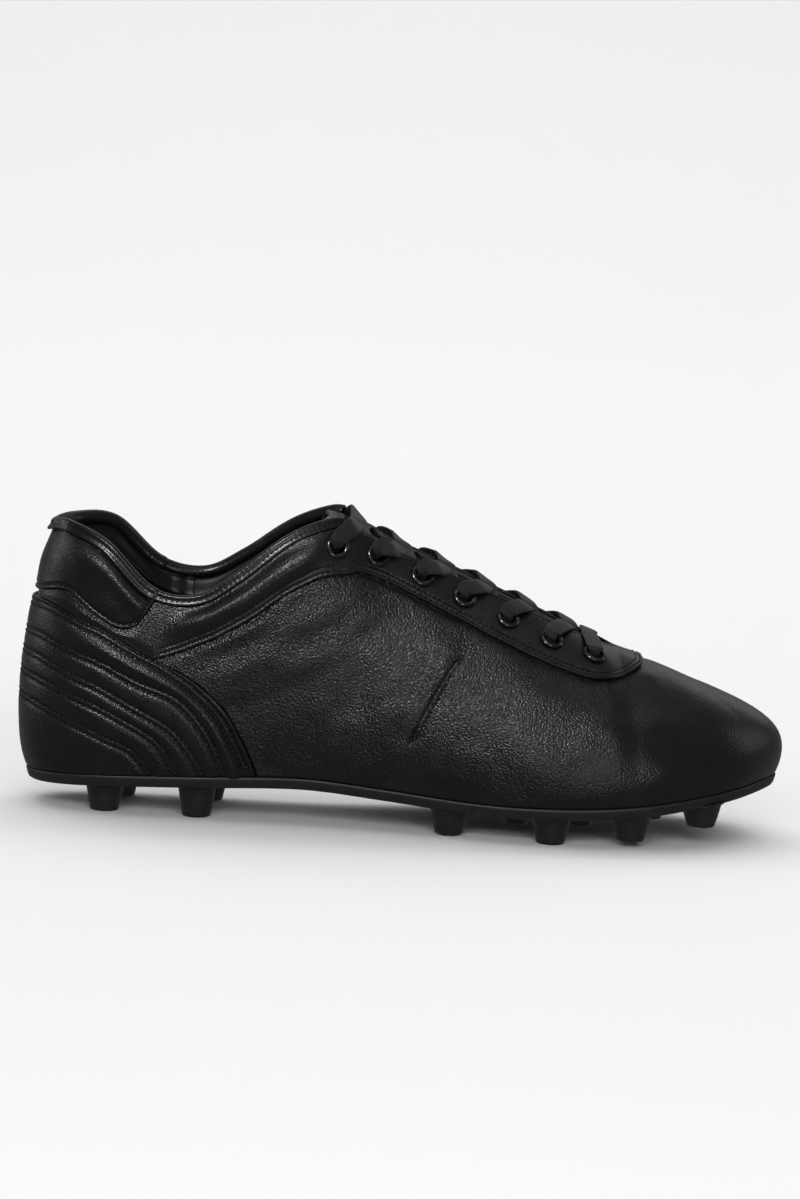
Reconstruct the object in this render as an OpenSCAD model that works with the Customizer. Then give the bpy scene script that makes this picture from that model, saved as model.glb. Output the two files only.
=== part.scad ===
// Low-cut leather soccer boot, right foot, laced, standing on its studs.
// X runs from heel to toe, -Y is the outer (lateral) side, +Z is up and z = 0 is the ground.

/* [Upper] */
// Thickness of the main leather
leather = 1.4; // [1:0.1:1.5]
// Thickness of the eyestay laid over the leather
stay_leather = 1.2; // [0.8:0.1:1.4]
// Thickness of the lining
lining = 0.9; // [0.6:0.1:1]
// Thickness of the toe puff and the heel counter
stiffener = 0.95; // [0.5:0.05:1]
// Thickness of the foam in the collar
collar_foam = 4.2; // [2:0.2:5]
// Radius of the bound edge round the ankle
binding_r = 1.7; // [1.2:0.1:1.8]

/* [Sole] */
// Thickness of the outsole plate
plate_t = 4.3; // [3:0.1:5]
// Radius of an edge stud where it leaves the plate
stud_root_r = 7.2; // [6:0.1:7.6]
// Radius of an edge stud at its tip
stud_tip_r = 5.2; // [4:0.1:5.6]
// Radius of a centre stud where it leaves the plate
centre_root_r = 5; // [4:0.1:5.4]
// Thickness of the footbed
footbed_t = 3.4; // [2:0.1:4]

/* [Lacing] */
// Outer radius of an eyelet's flange
eyelet_flange_r = 4; // [3.4:0.1:4.2]
// Radius of an eyelet's hole
eyelet_hole_r = 2.2; // [2.1:0.05:2.3]
// Width of the flat lace
lace_w = 6.4; // [5:0.2:7]
// Thickness of the flat lace
lace_t = 1.2; // [1:0.1:1.2]

/* [Tongue] */
// Thickness of the tongue's leather face
tongue_leather = 1.2; // [0.8:0.1:1.3]
// Thickness of the tongue's foam
tongue_foam = 3.6; // [2:0.2:4]

/* [Hidden] */

// Space left between two layers, between curved layers and under the eyestay
gap = 0.15;
layer_gap = 0.35;
stay_gap = 0.3;
// Segments of the exact round pieces
round_fn = 48;

// The upper is one surface. A place on it is [a, t]: a runs from 0 at the middle of the
// heel to 1 at the toe, positive on the lateral side and negative on the medial side,
// and t runs from 0 at the sole to 1 at the collar, the throat or the ridge of the vamp.

// Plan of the feather line, where the upper meets the sole: [a, x, y]
LATERAL_PLAN = [[0, -137.5, 0], [0.055, -131, -16], [0.123, -113, -27.5], [0.254, -72, -31.5],
                [0.381, -32, -32.5], [0.51, 8, -38.5], [0.639, 48, -47], [0.766, 88, -45.5],
                [0.848, 112, -35.5], [0.918, 129, -20.5], [1, 140.5, 4]];
MEDIAL_PLAN = [[0, -137.5, 0], [0.055, -131, 15], [0.123, -113, 25], [0.254, -72, 26.5],
               [0.381, -32, 25.5], [0.51, 8, 32.5], [0.639, 48, 43.5], [0.766, 88, 46.5],
               [0.848, 112, 39.5], [0.918, 129, 27], [1, 140.5, 4]];
// Height of the feather line: [x, z]
SOLE_LINE = [[-150, 12.5], [-136, 12.8], [-110, 14.6], [-75, 16.2], [-35, 17.9], [-5, 16.2],
             [25, 14.2], [55, 14.2], [85, 16], [113, 19.8], [140, 24.2], [150, 25.5]];
// Collar edge, then throat edge, then ridge of the vamp: [a, x, half width, z]
TOP_LINE = [[-0.055, -125, -13.5, 105], [0, -131, 0, 103.5], [0.055, -125, 13.5, 105],
            [0.123, -110, 23, 99], [0.19, -93, 28, 84], [0.254, -76, 30, 82.3],
            [0.32, -61, 29.5, 91.8], [0.381, -45, 27, 105], [0.43, -32, 23.5, 111.2],
            [0.46, -24, 20.5, 112], [0.51, -10, 17, 104], [0.575, 12, 14, 95],
            [0.639, 34, 11.5, 85.7], [0.7, 56, 9.5, 76], [0.74, 70, 7, 70.5],
            [0.766, 77, 0, 67.8], [0.848, 90, 0, 64.2], [0.918, 98.5, 0, 61], [1, 104, 0, 59.2],
            [1.082, 98.5, 0, 61]];
// How much higher the collar is on the medial side: [a, z]
MEDIAL_RISE = [[-0.055, 0], [0, 0], [0.055, 0], [0.123, 4.5], [0.19, 4.8], [0.254, 3.3],
               [0.32, 1.5], [0.381, 0], [0.45, 0], [1, 0], [1.1, 0]];
// How a rib of the upper leaves the sole: [a, outwards, upwards]
LOW_HANDLE = [[-0.123, 7.5, 22], [0, 8.5, 20], [0.123, 7.5, 22], [0.254, 6, 24],
              [0.381, 6.5, 26], [0.51, 8, 26], [0.639, 8, 24], [0.766, 8.5, 22],
              [0.88, 8.5, 21], [1, 7.5, 19.6], [1.12, 8.5, 21]];
// How it arrives at the top line: [a, outwards, downwards]
HIGH_HANDLE = [[-0.123, 7, 24], [0, 8.5, 22], [0.123, 7, 24], [0.254, 5, 26], [0.381, 6, 28],
               [0.46, 9, 28], [0.55, 14, 20], [0.639, 18, 13], [0.72, 22, 6], [0.766, 24, 0],
               [0.848, 26, 0], [1, 29, 0], [1.152, 26, 0]];
// Fall of the ridge for each millimetre forward
ridge_slope = 0.38;

// Seams on the side of the upper, as [a, t]
HEEL_SEAM = [[0, 0.69], [0.066, 0.667], [0.11, 0.646], [0.147, 0.65], [0.174, 0.662],
             [0.2, 0.657], [0.228, 0.615], [0.256, 0.53], [0.286, 0.365], [0.306, 0.16], [0.32, 0]];
TAB_SEAM = [[0, 0.712], [0.03, 0.705], [0.05, 0.712], [0.07, 0.725], [0.085, 0.723], [0.106, 0.7],
            [0.119, 0.686], [0.133, 0.682], [0.146, 0.69], [0.159, 0.72], [0.173, 0.777],
            [0.185, 0.868], [0.195, 0.943], [0.2, 0.96]];
STAY_SEAM = [[0.2, 0.665], [0.228, 0.722], [0.255, 0.76], [0.285, 0.768], [0.343, 0.767],
             [0.396, 0.777], [0.425, 0.788], [0.459, 0.79], [0.482, 0.825], [0.509, 0.84],
             [0.532, 0.83], [0.566, 0.803], [0.599, 0.777], [0.639, 0.733], [0.679, 0.695],
             [0.718, 0.67], [0.739, 0.673], [0.764, 0.705], [0.789, 0.795], [0.811, 0.885],
             [0.83, 1]];
DART_LOW = 0.47;
DART_HIGH = 0.6;
// Where the eyestay starts behind the top eyelet, and where its front end meets the ridge
stay_start = 0.425;
stay_front = 0.83;
throat_front = 0.766;
backing_front = 0.79;
JOIN_A = 0.2;
HEEL_T_AT_JOIN = 0.657;
// Top edge of the panels below the bound collar edge
collar_top = 0.96;

// Eyelets, as a along the eyestay, and their place across it from outer edge to throat
EYELET_A = [0.45, 0.505, 0.556, 0.602, 0.647, 0.69, 0.733];
EYELET_ACROSS = [[0.42, 0.6], [0.45, 0.58], [0.505, 0.585], [0.556, 0.59], [0.6, 0.535],
                 [0.647, 0.505], [0.69, 0.47], [0.74, 0.46], [0.85, 0.46]];
eyelet_barrel_r = 2.7;
eyelet_bore_r = 3.15;

// Edge studs as [x, y, height of the tip above the ground]
FOREFOOT_STUDS = [[20, -31, 0.8], [57, -37, 0], [86, -36, 2.6], [112, -26, 7.4],
                  [24, 26, 0.8], [57, 33, 0], [86, 36, 2.6], [112, 29, 7.4]];
HEEL_STUDS = [[-107, -17, 0], [-73, -20, 0], [-103, 16, 0], [-70, 17, 0]];
CENTRE_STUDS = [[45, -4, 0.8], [69, 0, 0.8], [95, 3, 4.4]];

// ---- small helpers ----
function mix(p, q, f) = p + (q - p) * f;
function unit(v) = v / norm(v);
function smooth(low, high, x) = let(f = min(1, max(0, (x - low) / (high - low)))) f * f * (3 - 2 * f);
function flat(lists) = [for (l = lists) each l];
function tail(v) = [for (i = [1 : len(v) - 1]) v[i]];
function steps(from, to, count) = [for (i = [0 : count]) mix(from, to, i / count)];

// Smooth curve through knots [key, value, ...], read at a key
function curve(knots, at) =
    let(last = len(knots) - 1,
        i = max(0, min(last - 1, len([for (k = knots) if (k[0] <= at) 1]) - 1)),
        before = knots[max(0, i - 1)],
        from = knots[i],
        to = knots[i + 1],
        after = knots[min(last, i + 2)],
        span = to[0] - from[0],
        f = (at - from[0]) / span,
        leave = tail(to - before) * (span / (to[0] - before[0])),
        arrive = tail(after - from) * (span / (after[0] - from[0])))
    tail(from) * (2 * pow(f, 3) - 3 * f * f + 1) + leave * (pow(f, 3) - 2 * f * f + f)
    + tail(to) * (3 * f * f - 2 * pow(f, 3)) + arrive * (pow(f, 3) - f * f);

// Straight-line reading of a seam
function seam(knots, at) =
    let(last = len(knots) - 1,
        i = max(0, min(last - 1, len([for (k = knots) if (k[0] <= at) 1]) - 1)))
    mix(knots[i][1], knots[i + 1][1], (at - knots[i][0]) / (knots[i + 1][0] - knots[i][0]));

// ---- the upper's surface ----
function folded(knot, at) = concat([2 * at - knot[0]], tail(knot));
function ringed(side, other) = concat([folded(other[1], 0)], side, [folded(other[len(other) - 2], 1)]);
LATERAL_RING = ringed(LATERAL_PLAN, MEDIAL_PLAN);
MEDIAL_RING = ringed(MEDIAL_PLAN, LATERAL_PLAN);

function wrapped(a) = a > 1 ? a - 2 : a < -1 ? a + 2 : a;
function plan(a) = curve(a >= 0 ? LATERAL_RING : MEDIAL_RING, abs(a));
function sole_z(x) = curve(SOLE_LINE, x)[0];
function plan_normal(a) =
    let(d = unit(plan(wrapped(a + 0.004)) - plan(wrapped(a - 0.004)))) [d[1], -d[0]];
function top_line(a) =
    let(p = curve(TOP_LINE, abs(a)), rise = a < 0 ? curve(MEDIAL_RISE, -a)[0] : 0)
    [p[0], (a >= 0 ? -1 : 1) * max(0, p[1]), p[2] + rise];

function rib(a0) =
    let(a = wrapped(a0),
        foot = plan(a),
        low = [foot[0], foot[1], sole_z(foot[0])],
        high = top_line(a),
        n = plan_normal(a),
        lo = curve(LOW_HANDLE, abs(a)),
        hi = curve(HIGH_HANDLE, abs(a)),
        fall = hi[1] + ridge_slope * max(0, n[0]) * hi[0])
    [low, low + [n[0] * lo[0], n[1] * lo[0], lo[1]],
     high + [n[0] * hi[0], n[1] * hi[0], -fall], high];
function along_rib(r, t) =
    let(u = 1 - t) r[0] * pow(u, 3) + r[1] * (3 * u * u * t) + r[2] * (3 * u * t * t) + r[3] * pow(t, 3);
function place(a, t) = along_rib(rib(a), t);
function normal(a, t) =
    let(e = 0.001,
        before = along_rib(rib(a - e), t),
        after = along_rib(rib(a + e), t),
        here = rib(a),
        rise = along_rib(here, min(1, t + e)) - along_rib(here, max(0, t - e)))
    unit(cross(after - before, rise));
// Point at a distance outside the surface
function off(at, d) = place(at[0], at[1]) + normal(at[0], at[1]) * d;

// Top edge of the leather at a
function edge_t(a) =
    let(b = abs(wrapped(a))) b < 0.46 ? collar_top
    : b < throat_front ? mix(collar_top, 0.995, smooth(0.46, 0.5, b)) : 1;
function heel_t(a) = seam(HEEL_SEAM, min(0.32, abs(a)));
function tab_t(a) = seam(TAB_SEAM, min(0.2, abs(a)));
function stay_t(a) = min(1, seam(STAY_SEAM, max(0.2, min(stay_front, abs(wrapped(a))))));

// How far the stiffeners and the foam push the lining inwards
function stiff(a, t) =
    let(b = abs(wrapped(a)))
    max(smooth(0.79, 0.85, b) * (1 - smooth(0.8, 0.95, t)),
        (1 - smooth(0.24, 0.31, b)) * (1 - smooth(0.5, 0.62, t)));
function foam(a, t) =
    smooth(0.6, 0.72, t) * (1 - smooth(0.88, 0.96, t)) * (1 - smooth(0.38, 0.425, abs(wrapped(a))));
function lining_depth(a, t) = leather + 2 * layer_gap + stiffener * stiff(a, t) + collar_foam * foam(a, t);

// ---- building solids from grids of points ----
// A sheet between two grids of points. Columns run heel to toe on the lateral side, rows run up.
// Each hole is [column, row, outer ring, inner ring]: it takes the four cells round that point.
module sheet(outer, inner, holes = []) {
    cols = len(outer);
    rows = len(outer[0]);
    count = cols * rows;
    ring = 8;
    O = function(i, j) i * rows + j;
    I = function(i, j) count + i * rows + j;
    H = function(h, k, side) 2 * count + h * 2 * ring + side * ring + (k % ring);
    round_block = [[-1, -1], [0, -1], [1, -1], [1, 0], [1, 1], [0, 1], [-1, 1], [-1, 0]];
    open = function(i, j) len([for (h = holes)
        if ((i == h[0] - 1 || i == h[0]) && (j == h[1] - 1 || j == h[1])) 1]) > 0;
    quads = concat(
        [for (i = [0 : cols - 2], j = [0 : rows - 2]) if (!open(i, j))
            each [[O(i, j), O(i, j + 1), O(i + 1, j + 1), O(i + 1, j)],
                  [I(i, j), I(i + 1, j), I(i + 1, j + 1), I(i, j + 1)]]],
        [for (i = [0 : cols - 2])
            each [[O(i, 0), O(i + 1, 0), I(i + 1, 0), I(i, 0)],
                  [O(i + 1, rows - 1), O(i, rows - 1), I(i, rows - 1), I(i + 1, rows - 1)]]],
        [for (j = [0 : rows - 2])
            each [[O(0, j + 1), O(0, j), I(0, j), I(0, j + 1)],
                  [O(cols - 1, j), O(cols - 1, j + 1), I(cols - 1, j + 1), I(cols - 1, j)]]],
        [for (h = [0 : 1 : len(holes) - 1], k = [0 : ring - 1])
            let(at = function(k) [holes[h][0] + round_block[k % ring][0],
                                  holes[h][1] + round_block[k % ring][1]],
                p = at(k),
                q = at(k + 1))
            each [[O(p[0], p[1]), H(h, k, 0), H(h, k + 1, 0), O(q[0], q[1])],
                  [I(q[0], q[1]), H(h, k + 1, 1), H(h, k, 1), I(p[0], p[1])],
                  [H(h, k, 0), H(h, k, 1), H(h, k + 1, 1), H(h, k + 1, 0)]]]);
    used = concat(flat(outer), flat(inner), [for (h = holes) each concat(h[2], h[3])]);
    polyhedron(used, [for (q = quads) each [[q[0], q[1], q[2]], [q[0], q[2], q[3]]]]);
}

// A panel of the upper between two depths, over a grid of places
module panel(places, outer_d, inner_d) {
    sheet([for (c = places) [for (p = c) off(p, outer_d(p[0], p[1]))]],
          [for (c = places) [for (p = c) off(p, inner_d(p[0], p[1]))]]);
}
function level(d) = function(a, t) d;

// A grid of places: columns at the given a, rows from one seam to another
function grid(columns, low, high, rows) =
    [for (a = columns) [for (f = steps(0, 1, rows)) [a, mix(low(a), high(a), f)]]];

// The columns of the medial side run the other way
function turned(places, side) =
    side > 0 ? places : [for (i = [len(places) - 1 : -1 : 0]) places[i]];

// Rings of points joined into one closed rod
module rod(rings) {
    count = len(rings);
    sides = len(rings[0]);
    P = function(i, k) i * sides + (k % sides);
    polyhedron(flat(rings), concat(
        [for (i = [0 : count - 2], k = [0 : sides - 1])
            each [[P(i, k), P(i, k + 1), P(i + 1, k + 1)], [P(i, k), P(i + 1, k + 1), P(i + 1, k)]]],
        [[for (k = [0 : sides - 1]) P(0, sides - 1 - k)], [for (k = [0 : sides - 1]) P(count - 1, k)]]));
}
// One ring across a route: w wide, h thick, with n across its thin side
function ring(p, along, n, w, h, sides) =
    let(side = unit(cross(along, n)), up = unit(cross(side, along)))
    [for (k = [0 : sides - 1]) let(angle = 360 * (k + 0.5) / sides)
        p + side * (w / 2 * cos(angle) / cos(180 / sides)) + up * (h / 2 * sin(angle) / cos(180 / sides))];

// A layer that follows the sole, from one inset outline to another
module plank(from, to, count, top_inset, top_z, low_inset, low_z) {
    columns = steps(from, to, count);
    layer = function(inset, z) [for (a = columns)
        let(l = plan(a) - plan_normal(a) * inset, m = plan(-a) - plan_normal(-a) * inset)
        [for (f = steps(0, 1, 6)) let(p = mix(l, m, f)) [p[0], p[1], sole_z(p[0]) + z(p[0], f)]]];
    sheet(layer(top_inset, top_z), layer(low_inset, low_z));
}

// ---- sole ----
plate_gap = 0.1;
shank_t = 1.2;
board_t = 1.3;
board_z = shank_t + 2 * gap;
footbed_z = board_z + board_t + gap;
shank_ends = [0.27, 0.45];
shank_w = 16;
inner_inset = 4.3;

module outsole_plate() {
    color("#2b2b2d")
    plank(0.006, 0.994, 44, 0, function(x, f) -plate_gap, 1.3, function(x, f) -plate_gap - plate_t);
}

// A stud grows out of the plate's underside, so its top is cut along the plate
module stud(at, root_r, tip_r) {
    reach = 10;
    chamfer = 0.8;
    under = sole_z(at[0]) - plate_gap - plate_t;
    lean = atan((sole_z(at[0] + 5) - sole_z(at[0] - 5)) / 10);
    top = under + 2;
    grow = (root_r - tip_r) / (under - at[2]);
    intersection() {
        translate([at[0], at[1], 0])
            rotate_extrude($fn = round_fn)
                polygon([[0, at[2]], [tip_r - chamfer, at[2]], [tip_r, at[2] + chamfer],
                         [root_r + grow * 2, top], [0, top]]);
        translate([at[0], at[1], under - gap])
            rotate([0, -lean, 0])
                translate([-reach, -reach, -2 * reach])
                    cube([2 * reach, 2 * reach, 2 * reach]);
    }
}
module forefoot_studs() {
    color("#1d1d1f") for (s = FOREFOOT_STUDS) stud(s, stud_root_r, stud_tip_r);
}
module heel_studs() {
    color("#1d1d1f") for (s = HEEL_STUDS) stud(s, stud_root_r, stud_tip_r);
}
module centre_studs() {
    color("#1d1d1f") for (s = CENTRE_STUDS) stud(s, centre_root_r, centre_root_r - 0.9);
}
module shank() {
    color("#b8bcc0")
    sheet([for (a = steps(shank_ends[0], shank_ends[1], 12)) shank_row(a, gap + shank_t)],
          [for (a = steps(shank_ends[0], shank_ends[1], 12)) shank_row(a, gap)]);
}
function shank_row(a, z) =
    let(m = (plan(a) + plan(-a)) / 2)
    [for (f = [-0.5, 0.5]) [m[0], m[1] + f * shank_w, sole_z(m[0]) + z]];
module bottom_filler() {
    color("#8b7355") {
        plank(0.04, shank_ends[0] - 0.01, 10, inner_inset + 1, function(x, f) gap + shank_t,
              inner_inset + 1, function(x, f) gap);
        plank(shank_ends[1] + 0.01, 0.96, 20, inner_inset + 1, function(x, f) gap + shank_t,
              inner_inset + 1, function(x, f) gap);
    }
}
module insole_board() {
    color("#c9b48a")
    plank(0.03, 0.975, 30, inner_inset, function(x, f) board_z + board_t,
          inner_inset, function(x, f) board_z);
}
module footbed() {
    color("#242426")
    plank(0.03, 0.975, 30, inner_inset + 0.2, function(x, f) footbed_z + footbed_t + 6 * pow(f - 0.5, 2),
          inner_inset + 0.2, function(x, f) footbed_z);
}

// ---- stiffeners ----
// Their edges are thinned to this
skived = 0.1;
module heel_counter() {
    color("#d8d2c4")
    panel(grid(steps(-0.265, 0.265, 24), function(a) 0.02, function(a) 0.56 - 4 * a * a, 5),
          level(-leather - layer_gap),
          function(a, t) -leather - layer_gap - skived - (stiffener - skived) * stiff(a, t));
}

// ---- leather panels ----
seam_gap = 0.002;
leather_color = "#1b1b1c";

// The seam between quarter and vamp leans forward as it rises
function dart_a(t) = mix(DART_LOW, DART_HIGH, t / 0.8);
// Front of the quarter and the vamp run under the eyestay by this much t
stay_lap = 0.028;
function under_stay(a) = min(1, stay_t(a) + stay_lap);

// Places over the toe: columns from one side round the toe to the other, rows from the sole
// to an inner line that ends on the ridge. Close to the middle they climb the toe first.
function toe_grid(outer_a, inner_a, inner_t, cols, rows) =
    [for (c = steps(-1, 1, cols))
        let(b = abs(c),
            side = c <= 0 ? 1 : -1,
            a0 = mix(1, outer_a, b),
            a1 = mix(inner_a[1], inner_a[0], pow(b, 0.8)),
            t1 = b == 0 ? 1 : inner_t(a1),
            bend = 1 - min(1, 2.2 * b))
        [for (f = steps(0, 1, rows))
            let(straight = [mix(a0, a1, f), t1 * f],
                turned = f < 0.72 ? [a0, t1 * f / 0.72] : [mix(a0, a1, (f - 0.72) / 0.28), t1],
                p = mix(straight, turned, bend))
            [side * p[0], p[1]]]];

function vamp_places() =
    [for (c = toe_grid(DART_LOW, [DART_HIGH, stay_front], function(a) under_stay(a), 50, 10))
        [for (p = c) [sign(p[0]) * max(abs(p[0]), dart_a(p[1]) + seam_gap), p[1]]]];
module vamp() {
    color(leather_color) panel(vamp_places(), level(0), level(-leather));
}
// The toe puff covers the front of the same grid
puff_columns = [16, 34];
puff_rows = 6;
module toe_puff() {
    places = vamp_places();
    color("#d8d2c4")
    panel([for (i = [puff_columns[0] : puff_columns[1]]) [for (j = [0 : puff_rows]) places[i][j]]],
          level(-leather - layer_gap),
          function(a, t) -leather - layer_gap - skived - (stiffener - skived) * stiff(a, t));
}
// Rear edge of the quarter, against the heel panel and the tab
function quarter_rear(t) =
    t > HEEL_T_AT_JOIN ? JOIN_A + seam_gap
    : seam([[0, 0.32], [0.16, 0.306], [0.365, 0.286], [0.53, 0.256], [0.615, 0.228],
            [0.657, JOIN_A]], t) + seam_gap;
// Top of the quarter: against the collar panel behind, under the eyestay in front
function quarter_top(a) =
    mix(stay_t(a) - 3 * seam_gap, under_stay(a), smooth(stay_start, stay_start + 0.01, abs(a)));
module quarter(side) {
    places = [for (c = steps(0, 1, 20))
        let(guess = quarter_top(mix(JOIN_A, DART_HIGH, c)),
            top = quarter_top(mix(JOIN_A, dart_a(guess), c)))
        [for (f = steps(0, 1, 9)) [side * mix(quarter_rear(top * f), dart_a(top * f), c), top * f]]];
    panel(turned(places, side), level(0), level(-leather));
}
module lateral_quarter() { color(leather_color) quarter(1); }
module medial_quarter() { color(leather_color) quarter(-1); }

// Over the seam the heel panel stops short of the tab and the collar panels
module heel_panel() {
    quilt = 0.5;
    color(leather_color)
    panel(grid(steps(-0.317, 0.317, 38), function(a) 0, function(a) max(0.012, heel_t(a) - 0.006), 7),
          level(quilt), level(-leather));
}
module heel_collar() {
    color(leather_color)
    panel(grid(steps(-0.196, 0.196, 24), function(a) tab_t(a) + 2 * seam_gap, function(a) collar_top, 4),
          level(0), level(-leather));
}
// ---- eyestay, its backing and the eyelets ----
// Half the length and half the width of the block of cells round an eyelet
block_a = 0.0137;
block_across = 0.25;
function across(a) = curve(EYELET_ACROSS, a)[0];
// Ends of the columns across the stay: [a at the outer edge, a at the throat]
function stay_side(front) = concat([[stay_start, stay_start]],
    [for (e = EYELET_A) each [[e - block_a, e - block_a], [e, e], [e + block_a, e + block_a]]],
    [for (f = [0.3, 0.55, 0.75, 0.9])
        [mix(EYELET_A[6] + block_a, front, f), mix(EYELET_A[6] + block_a, throat_front, f)]]);
// The same piece runs on under the ankle, down to a point between the heel panel and the tab
COLLAR_SIDE = [for (a = concat(steps(0.034, 0.19, 8), steps(0.205, 0.4, 12))) [a, a]];
function stay_low(a) = a < JOIN_A ? heel_t(a) + seam_gap : stay_t(a);
function stay_high(a) = a < JOIN_A ? tab_t(a) - 2 * seam_gap : edge_t(a);
function stay_column(ends, side, first) =
    let(a = ends[0], m = across(max(EYELET_A[0], a)), t0 = stay_low(a), t1 = stay_high(ends[1]))
    [for (v = [first, m - block_across, m, m + block_across, 1])
        [side * mix(ends[0], ends[1], v), mix(t0, t1, v)]];
function stay_places(side_columns, front, first) = concat(
    [for (ends = side_columns) stay_column(ends, 1, first)],
    [[for (v = [first, 0.35, 0.55, 0.8, 1]) [mix(front, throat_front, v), 1]]],
    [for (i = [len(side_columns) - 1 : -1 : 0]) stay_column(side_columns[i], -1, first)]);
// Place, outward normal and direction towards the throat of one eyelet
function eyelet_place(side, i) =
    let(a = EYELET_A[i]) [side * a, mix(stay_t(a), edge_t(a), across(a))];
function eyelet_frame(side, i) =
    let(p = eyelet_place(side, i), n = normal(p[0], p[1]),
        rise = place(p[0], p[1] + 0.01) - place(p[0], p[1] - 0.01))
    [place(p[0], p[1]), n, unit(rise - n * (rise * n))];
function hole_ring(frame, side, d) =
    let(up = frame[2], along = cross(up, frame[1]))
    [for (k = [0 : 7]) let(angle = 45 * k - 135)
        frame[0] + frame[1] * d + (along * cos(angle) + up * sin(angle)) * eyelet_bore_r];
// The strip starts at the share "first" of the way from the outer edge to the throat
module stay(rear_columns, front, first, outer_d, inner_d) {
    side_columns = concat(rear_columns, stay_side(front));
    places = stay_places(side_columns, front, first);
    last = len(places) - 1;
    first_hole = len(rear_columns) + 2;
    sheet([for (c = places) [for (p = c) off(p, outer_d(p[0], p[1]))]],
          [for (c = places) [for (p = c) off(p, inner_d(p[0], p[1]))]],
          [for (side = [1, -1], i = [0 : 6])
              let(frame = eyelet_frame(side, i), column = first_hole + 3 * i)
              [side > 0 ? column : last - column, 2,
               hole_ring(frame, side, outer_d(1, 1)), hole_ring(frame, side, inner_d(1, 1))]]);
}
stay_top = stay_gap + stay_leather;
// Behind the eyestay the same leather lies flush with the quarter
function raised(a) = smooth(0.39, stay_start, abs(wrapped(a)));
module eyestay_collar() {
    color("#202021")
    stay(COLLAR_SIDE, stay_front, 0, function(a, t) mix(0, stay_top, raised(a)),
         function(a, t) mix(-leather, stay_gap, raised(a)));
}
module eyestay_backing() {
    color("#303032")
    stay([], backing_front, 0.24, level(0), level(-leather));
}
flange_gap = 0.2;
inner_flange_gap = 0.4;
flange_t = 0.6;
module eyelets(side) {
    top = stay_top + flange_gap;
    under = -leather - inner_flange_gap;
    color("#0c0c0d")
    for (i = [0 : 6]) {
        frame = eyelet_frame(side, i);
        n = frame[1];
        translate(frame[0])
            rotate([0, acos(n[2]), atan2(n[1], n[0])])
                rotate_extrude($fn = round_fn)
                    polygon([[eyelet_hole_r, under - flange_t], [eyelet_flange_r - 0.4, under - flange_t],
                             [eyelet_flange_r - 0.4, under], [eyelet_barrel_r, under],
                             [eyelet_barrel_r, top], [eyelet_flange_r, top],
                             [eyelet_flange_r - 0.5, top + flange_t],
                             [eyelet_hole_r + 0.5, top + flange_t], [eyelet_hole_r, top + 0.3]]);
    }
}
module lateral_eyelets() eyelets(1);
module medial_eyelets() eyelets(-1);

// ---- collar ----
// The foam and the lining share one grid: columns along the shoe, rows up to the collar
LINING_A = steps(-0.42, 0.42, 42);
LINING_T = [0, 0.2, 0.4, 0.53, 0.635, 0.7, 0.78, 0.86, 0.93, collar_top];
padding_columns = [2, 40];
padding_rows = [4, 8];
module collar_padding() {
    color("#6f6f72")
    panel([for (i = [padding_columns[0] : padding_columns[1]])
              [for (j = [padding_rows[0] : padding_rows[1]]) [LINING_A[i], LINING_T[j]]]],
          level(-leather - layer_gap),
          function(a, t) -leather - layer_gap - skived - (collar_foam - skived) * foam(a, t));
}
binding_end = 0.457;
module collar_binding() {
    wall = leather + 2 * layer_gap + lining;
    color("#151516")
    rod([for (a = steps(-binding_end, binding_end, 64))
        let(before = top_line(a - 0.004), after = top_line(a + 0.004),
            p = off([a, 1], -wall / 2))
        ring(p, unit(after - before), normal(a, 1), 2 * binding_r, 2 * binding_r, 8)]);
}

// ---- linings ----
module vamp_lining() {
    color("#2a2a2c")
    panel(vamp_places(), function(a, t) -lining_depth(a, t), function(a, t) -lining_depth(a, t) - lining);
}
// In front of the foam the lining's top edge drops under the eyestay
module quarter_lining() {
    top = function(a) mix(collar_top, stay_t(a) + 0.02, smooth(0.381, 0.42, abs(a)));
    front = function(side) [for (f = [0.25, 0.5, 0.75, 1])
        let(a0 = LINING_A[len(LINING_A) - 1], high = top(mix(a0, DART_HIGH, f)))
        [for (t = LINING_T) let(h = t / collar_top * high)
            [side * mix(a0, dart_a(h) - seam_gap, f), h]]];
    color("#101011")
    panel(concat(turned(front(-1), -1),
                 [for (a = LINING_A) [for (t = LINING_T) [a, t / collar_top * top(a)]]], front(1)),
          function(a, t) -lining_depth(a, t), function(a, t) -lining_depth(a, t) - lining);
}

// ---- tongue ----
tongue_depth = 5.9;
tongue_gap = 0.3;
tongue_top = 0.452;
tongue_root = 0.8;
TONGUE_EDGE = [[0.44, 0.8], [0.52, 0.78], [0.64, 0.74], [0.8, 0.78]];
// Cross-section of the tongue at a: down the inside of the facing, across the throat and down again
function tongue_row(a, d, rows) =
    let(t0 = seam(TONGUE_EDGE, a),
        te = 1 - 0.1 * smooth(0.72, 0.77, a),
        top = top_line(a),
        sag = mix(3, mix(6.9, tongue_depth, smooth(0.5, 0.6, a)), smooth(0.452, 0.475, a)),
        crown = [top[0], 0, top[2] - sag - (d - tongue_depth)],
        wing = function(side, t) off([side * a, t], -d),
        knots = [concat([-0.2], wing(1, 2 * t0 - mix(t0, te, 0.5))),
                 concat([0], wing(1, t0)), concat([0.2], wing(1, mix(t0, te, 0.5))),
                 concat([0.36], wing(1, te)), concat([0.5], crown), concat([0.64], wing(-1, te)),
                 concat([0.8], wing(-1, mix(t0, te, 0.5))), concat([1], wing(-1, t0)),
                 concat([1.2], wing(-1, 2 * t0 - mix(t0, te, 0.5)))])
    [for (f = steps(0, 1, rows)) curve(knots, f)];
TONGUE_A = steps(tongue_top, tongue_root, 14);
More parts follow.
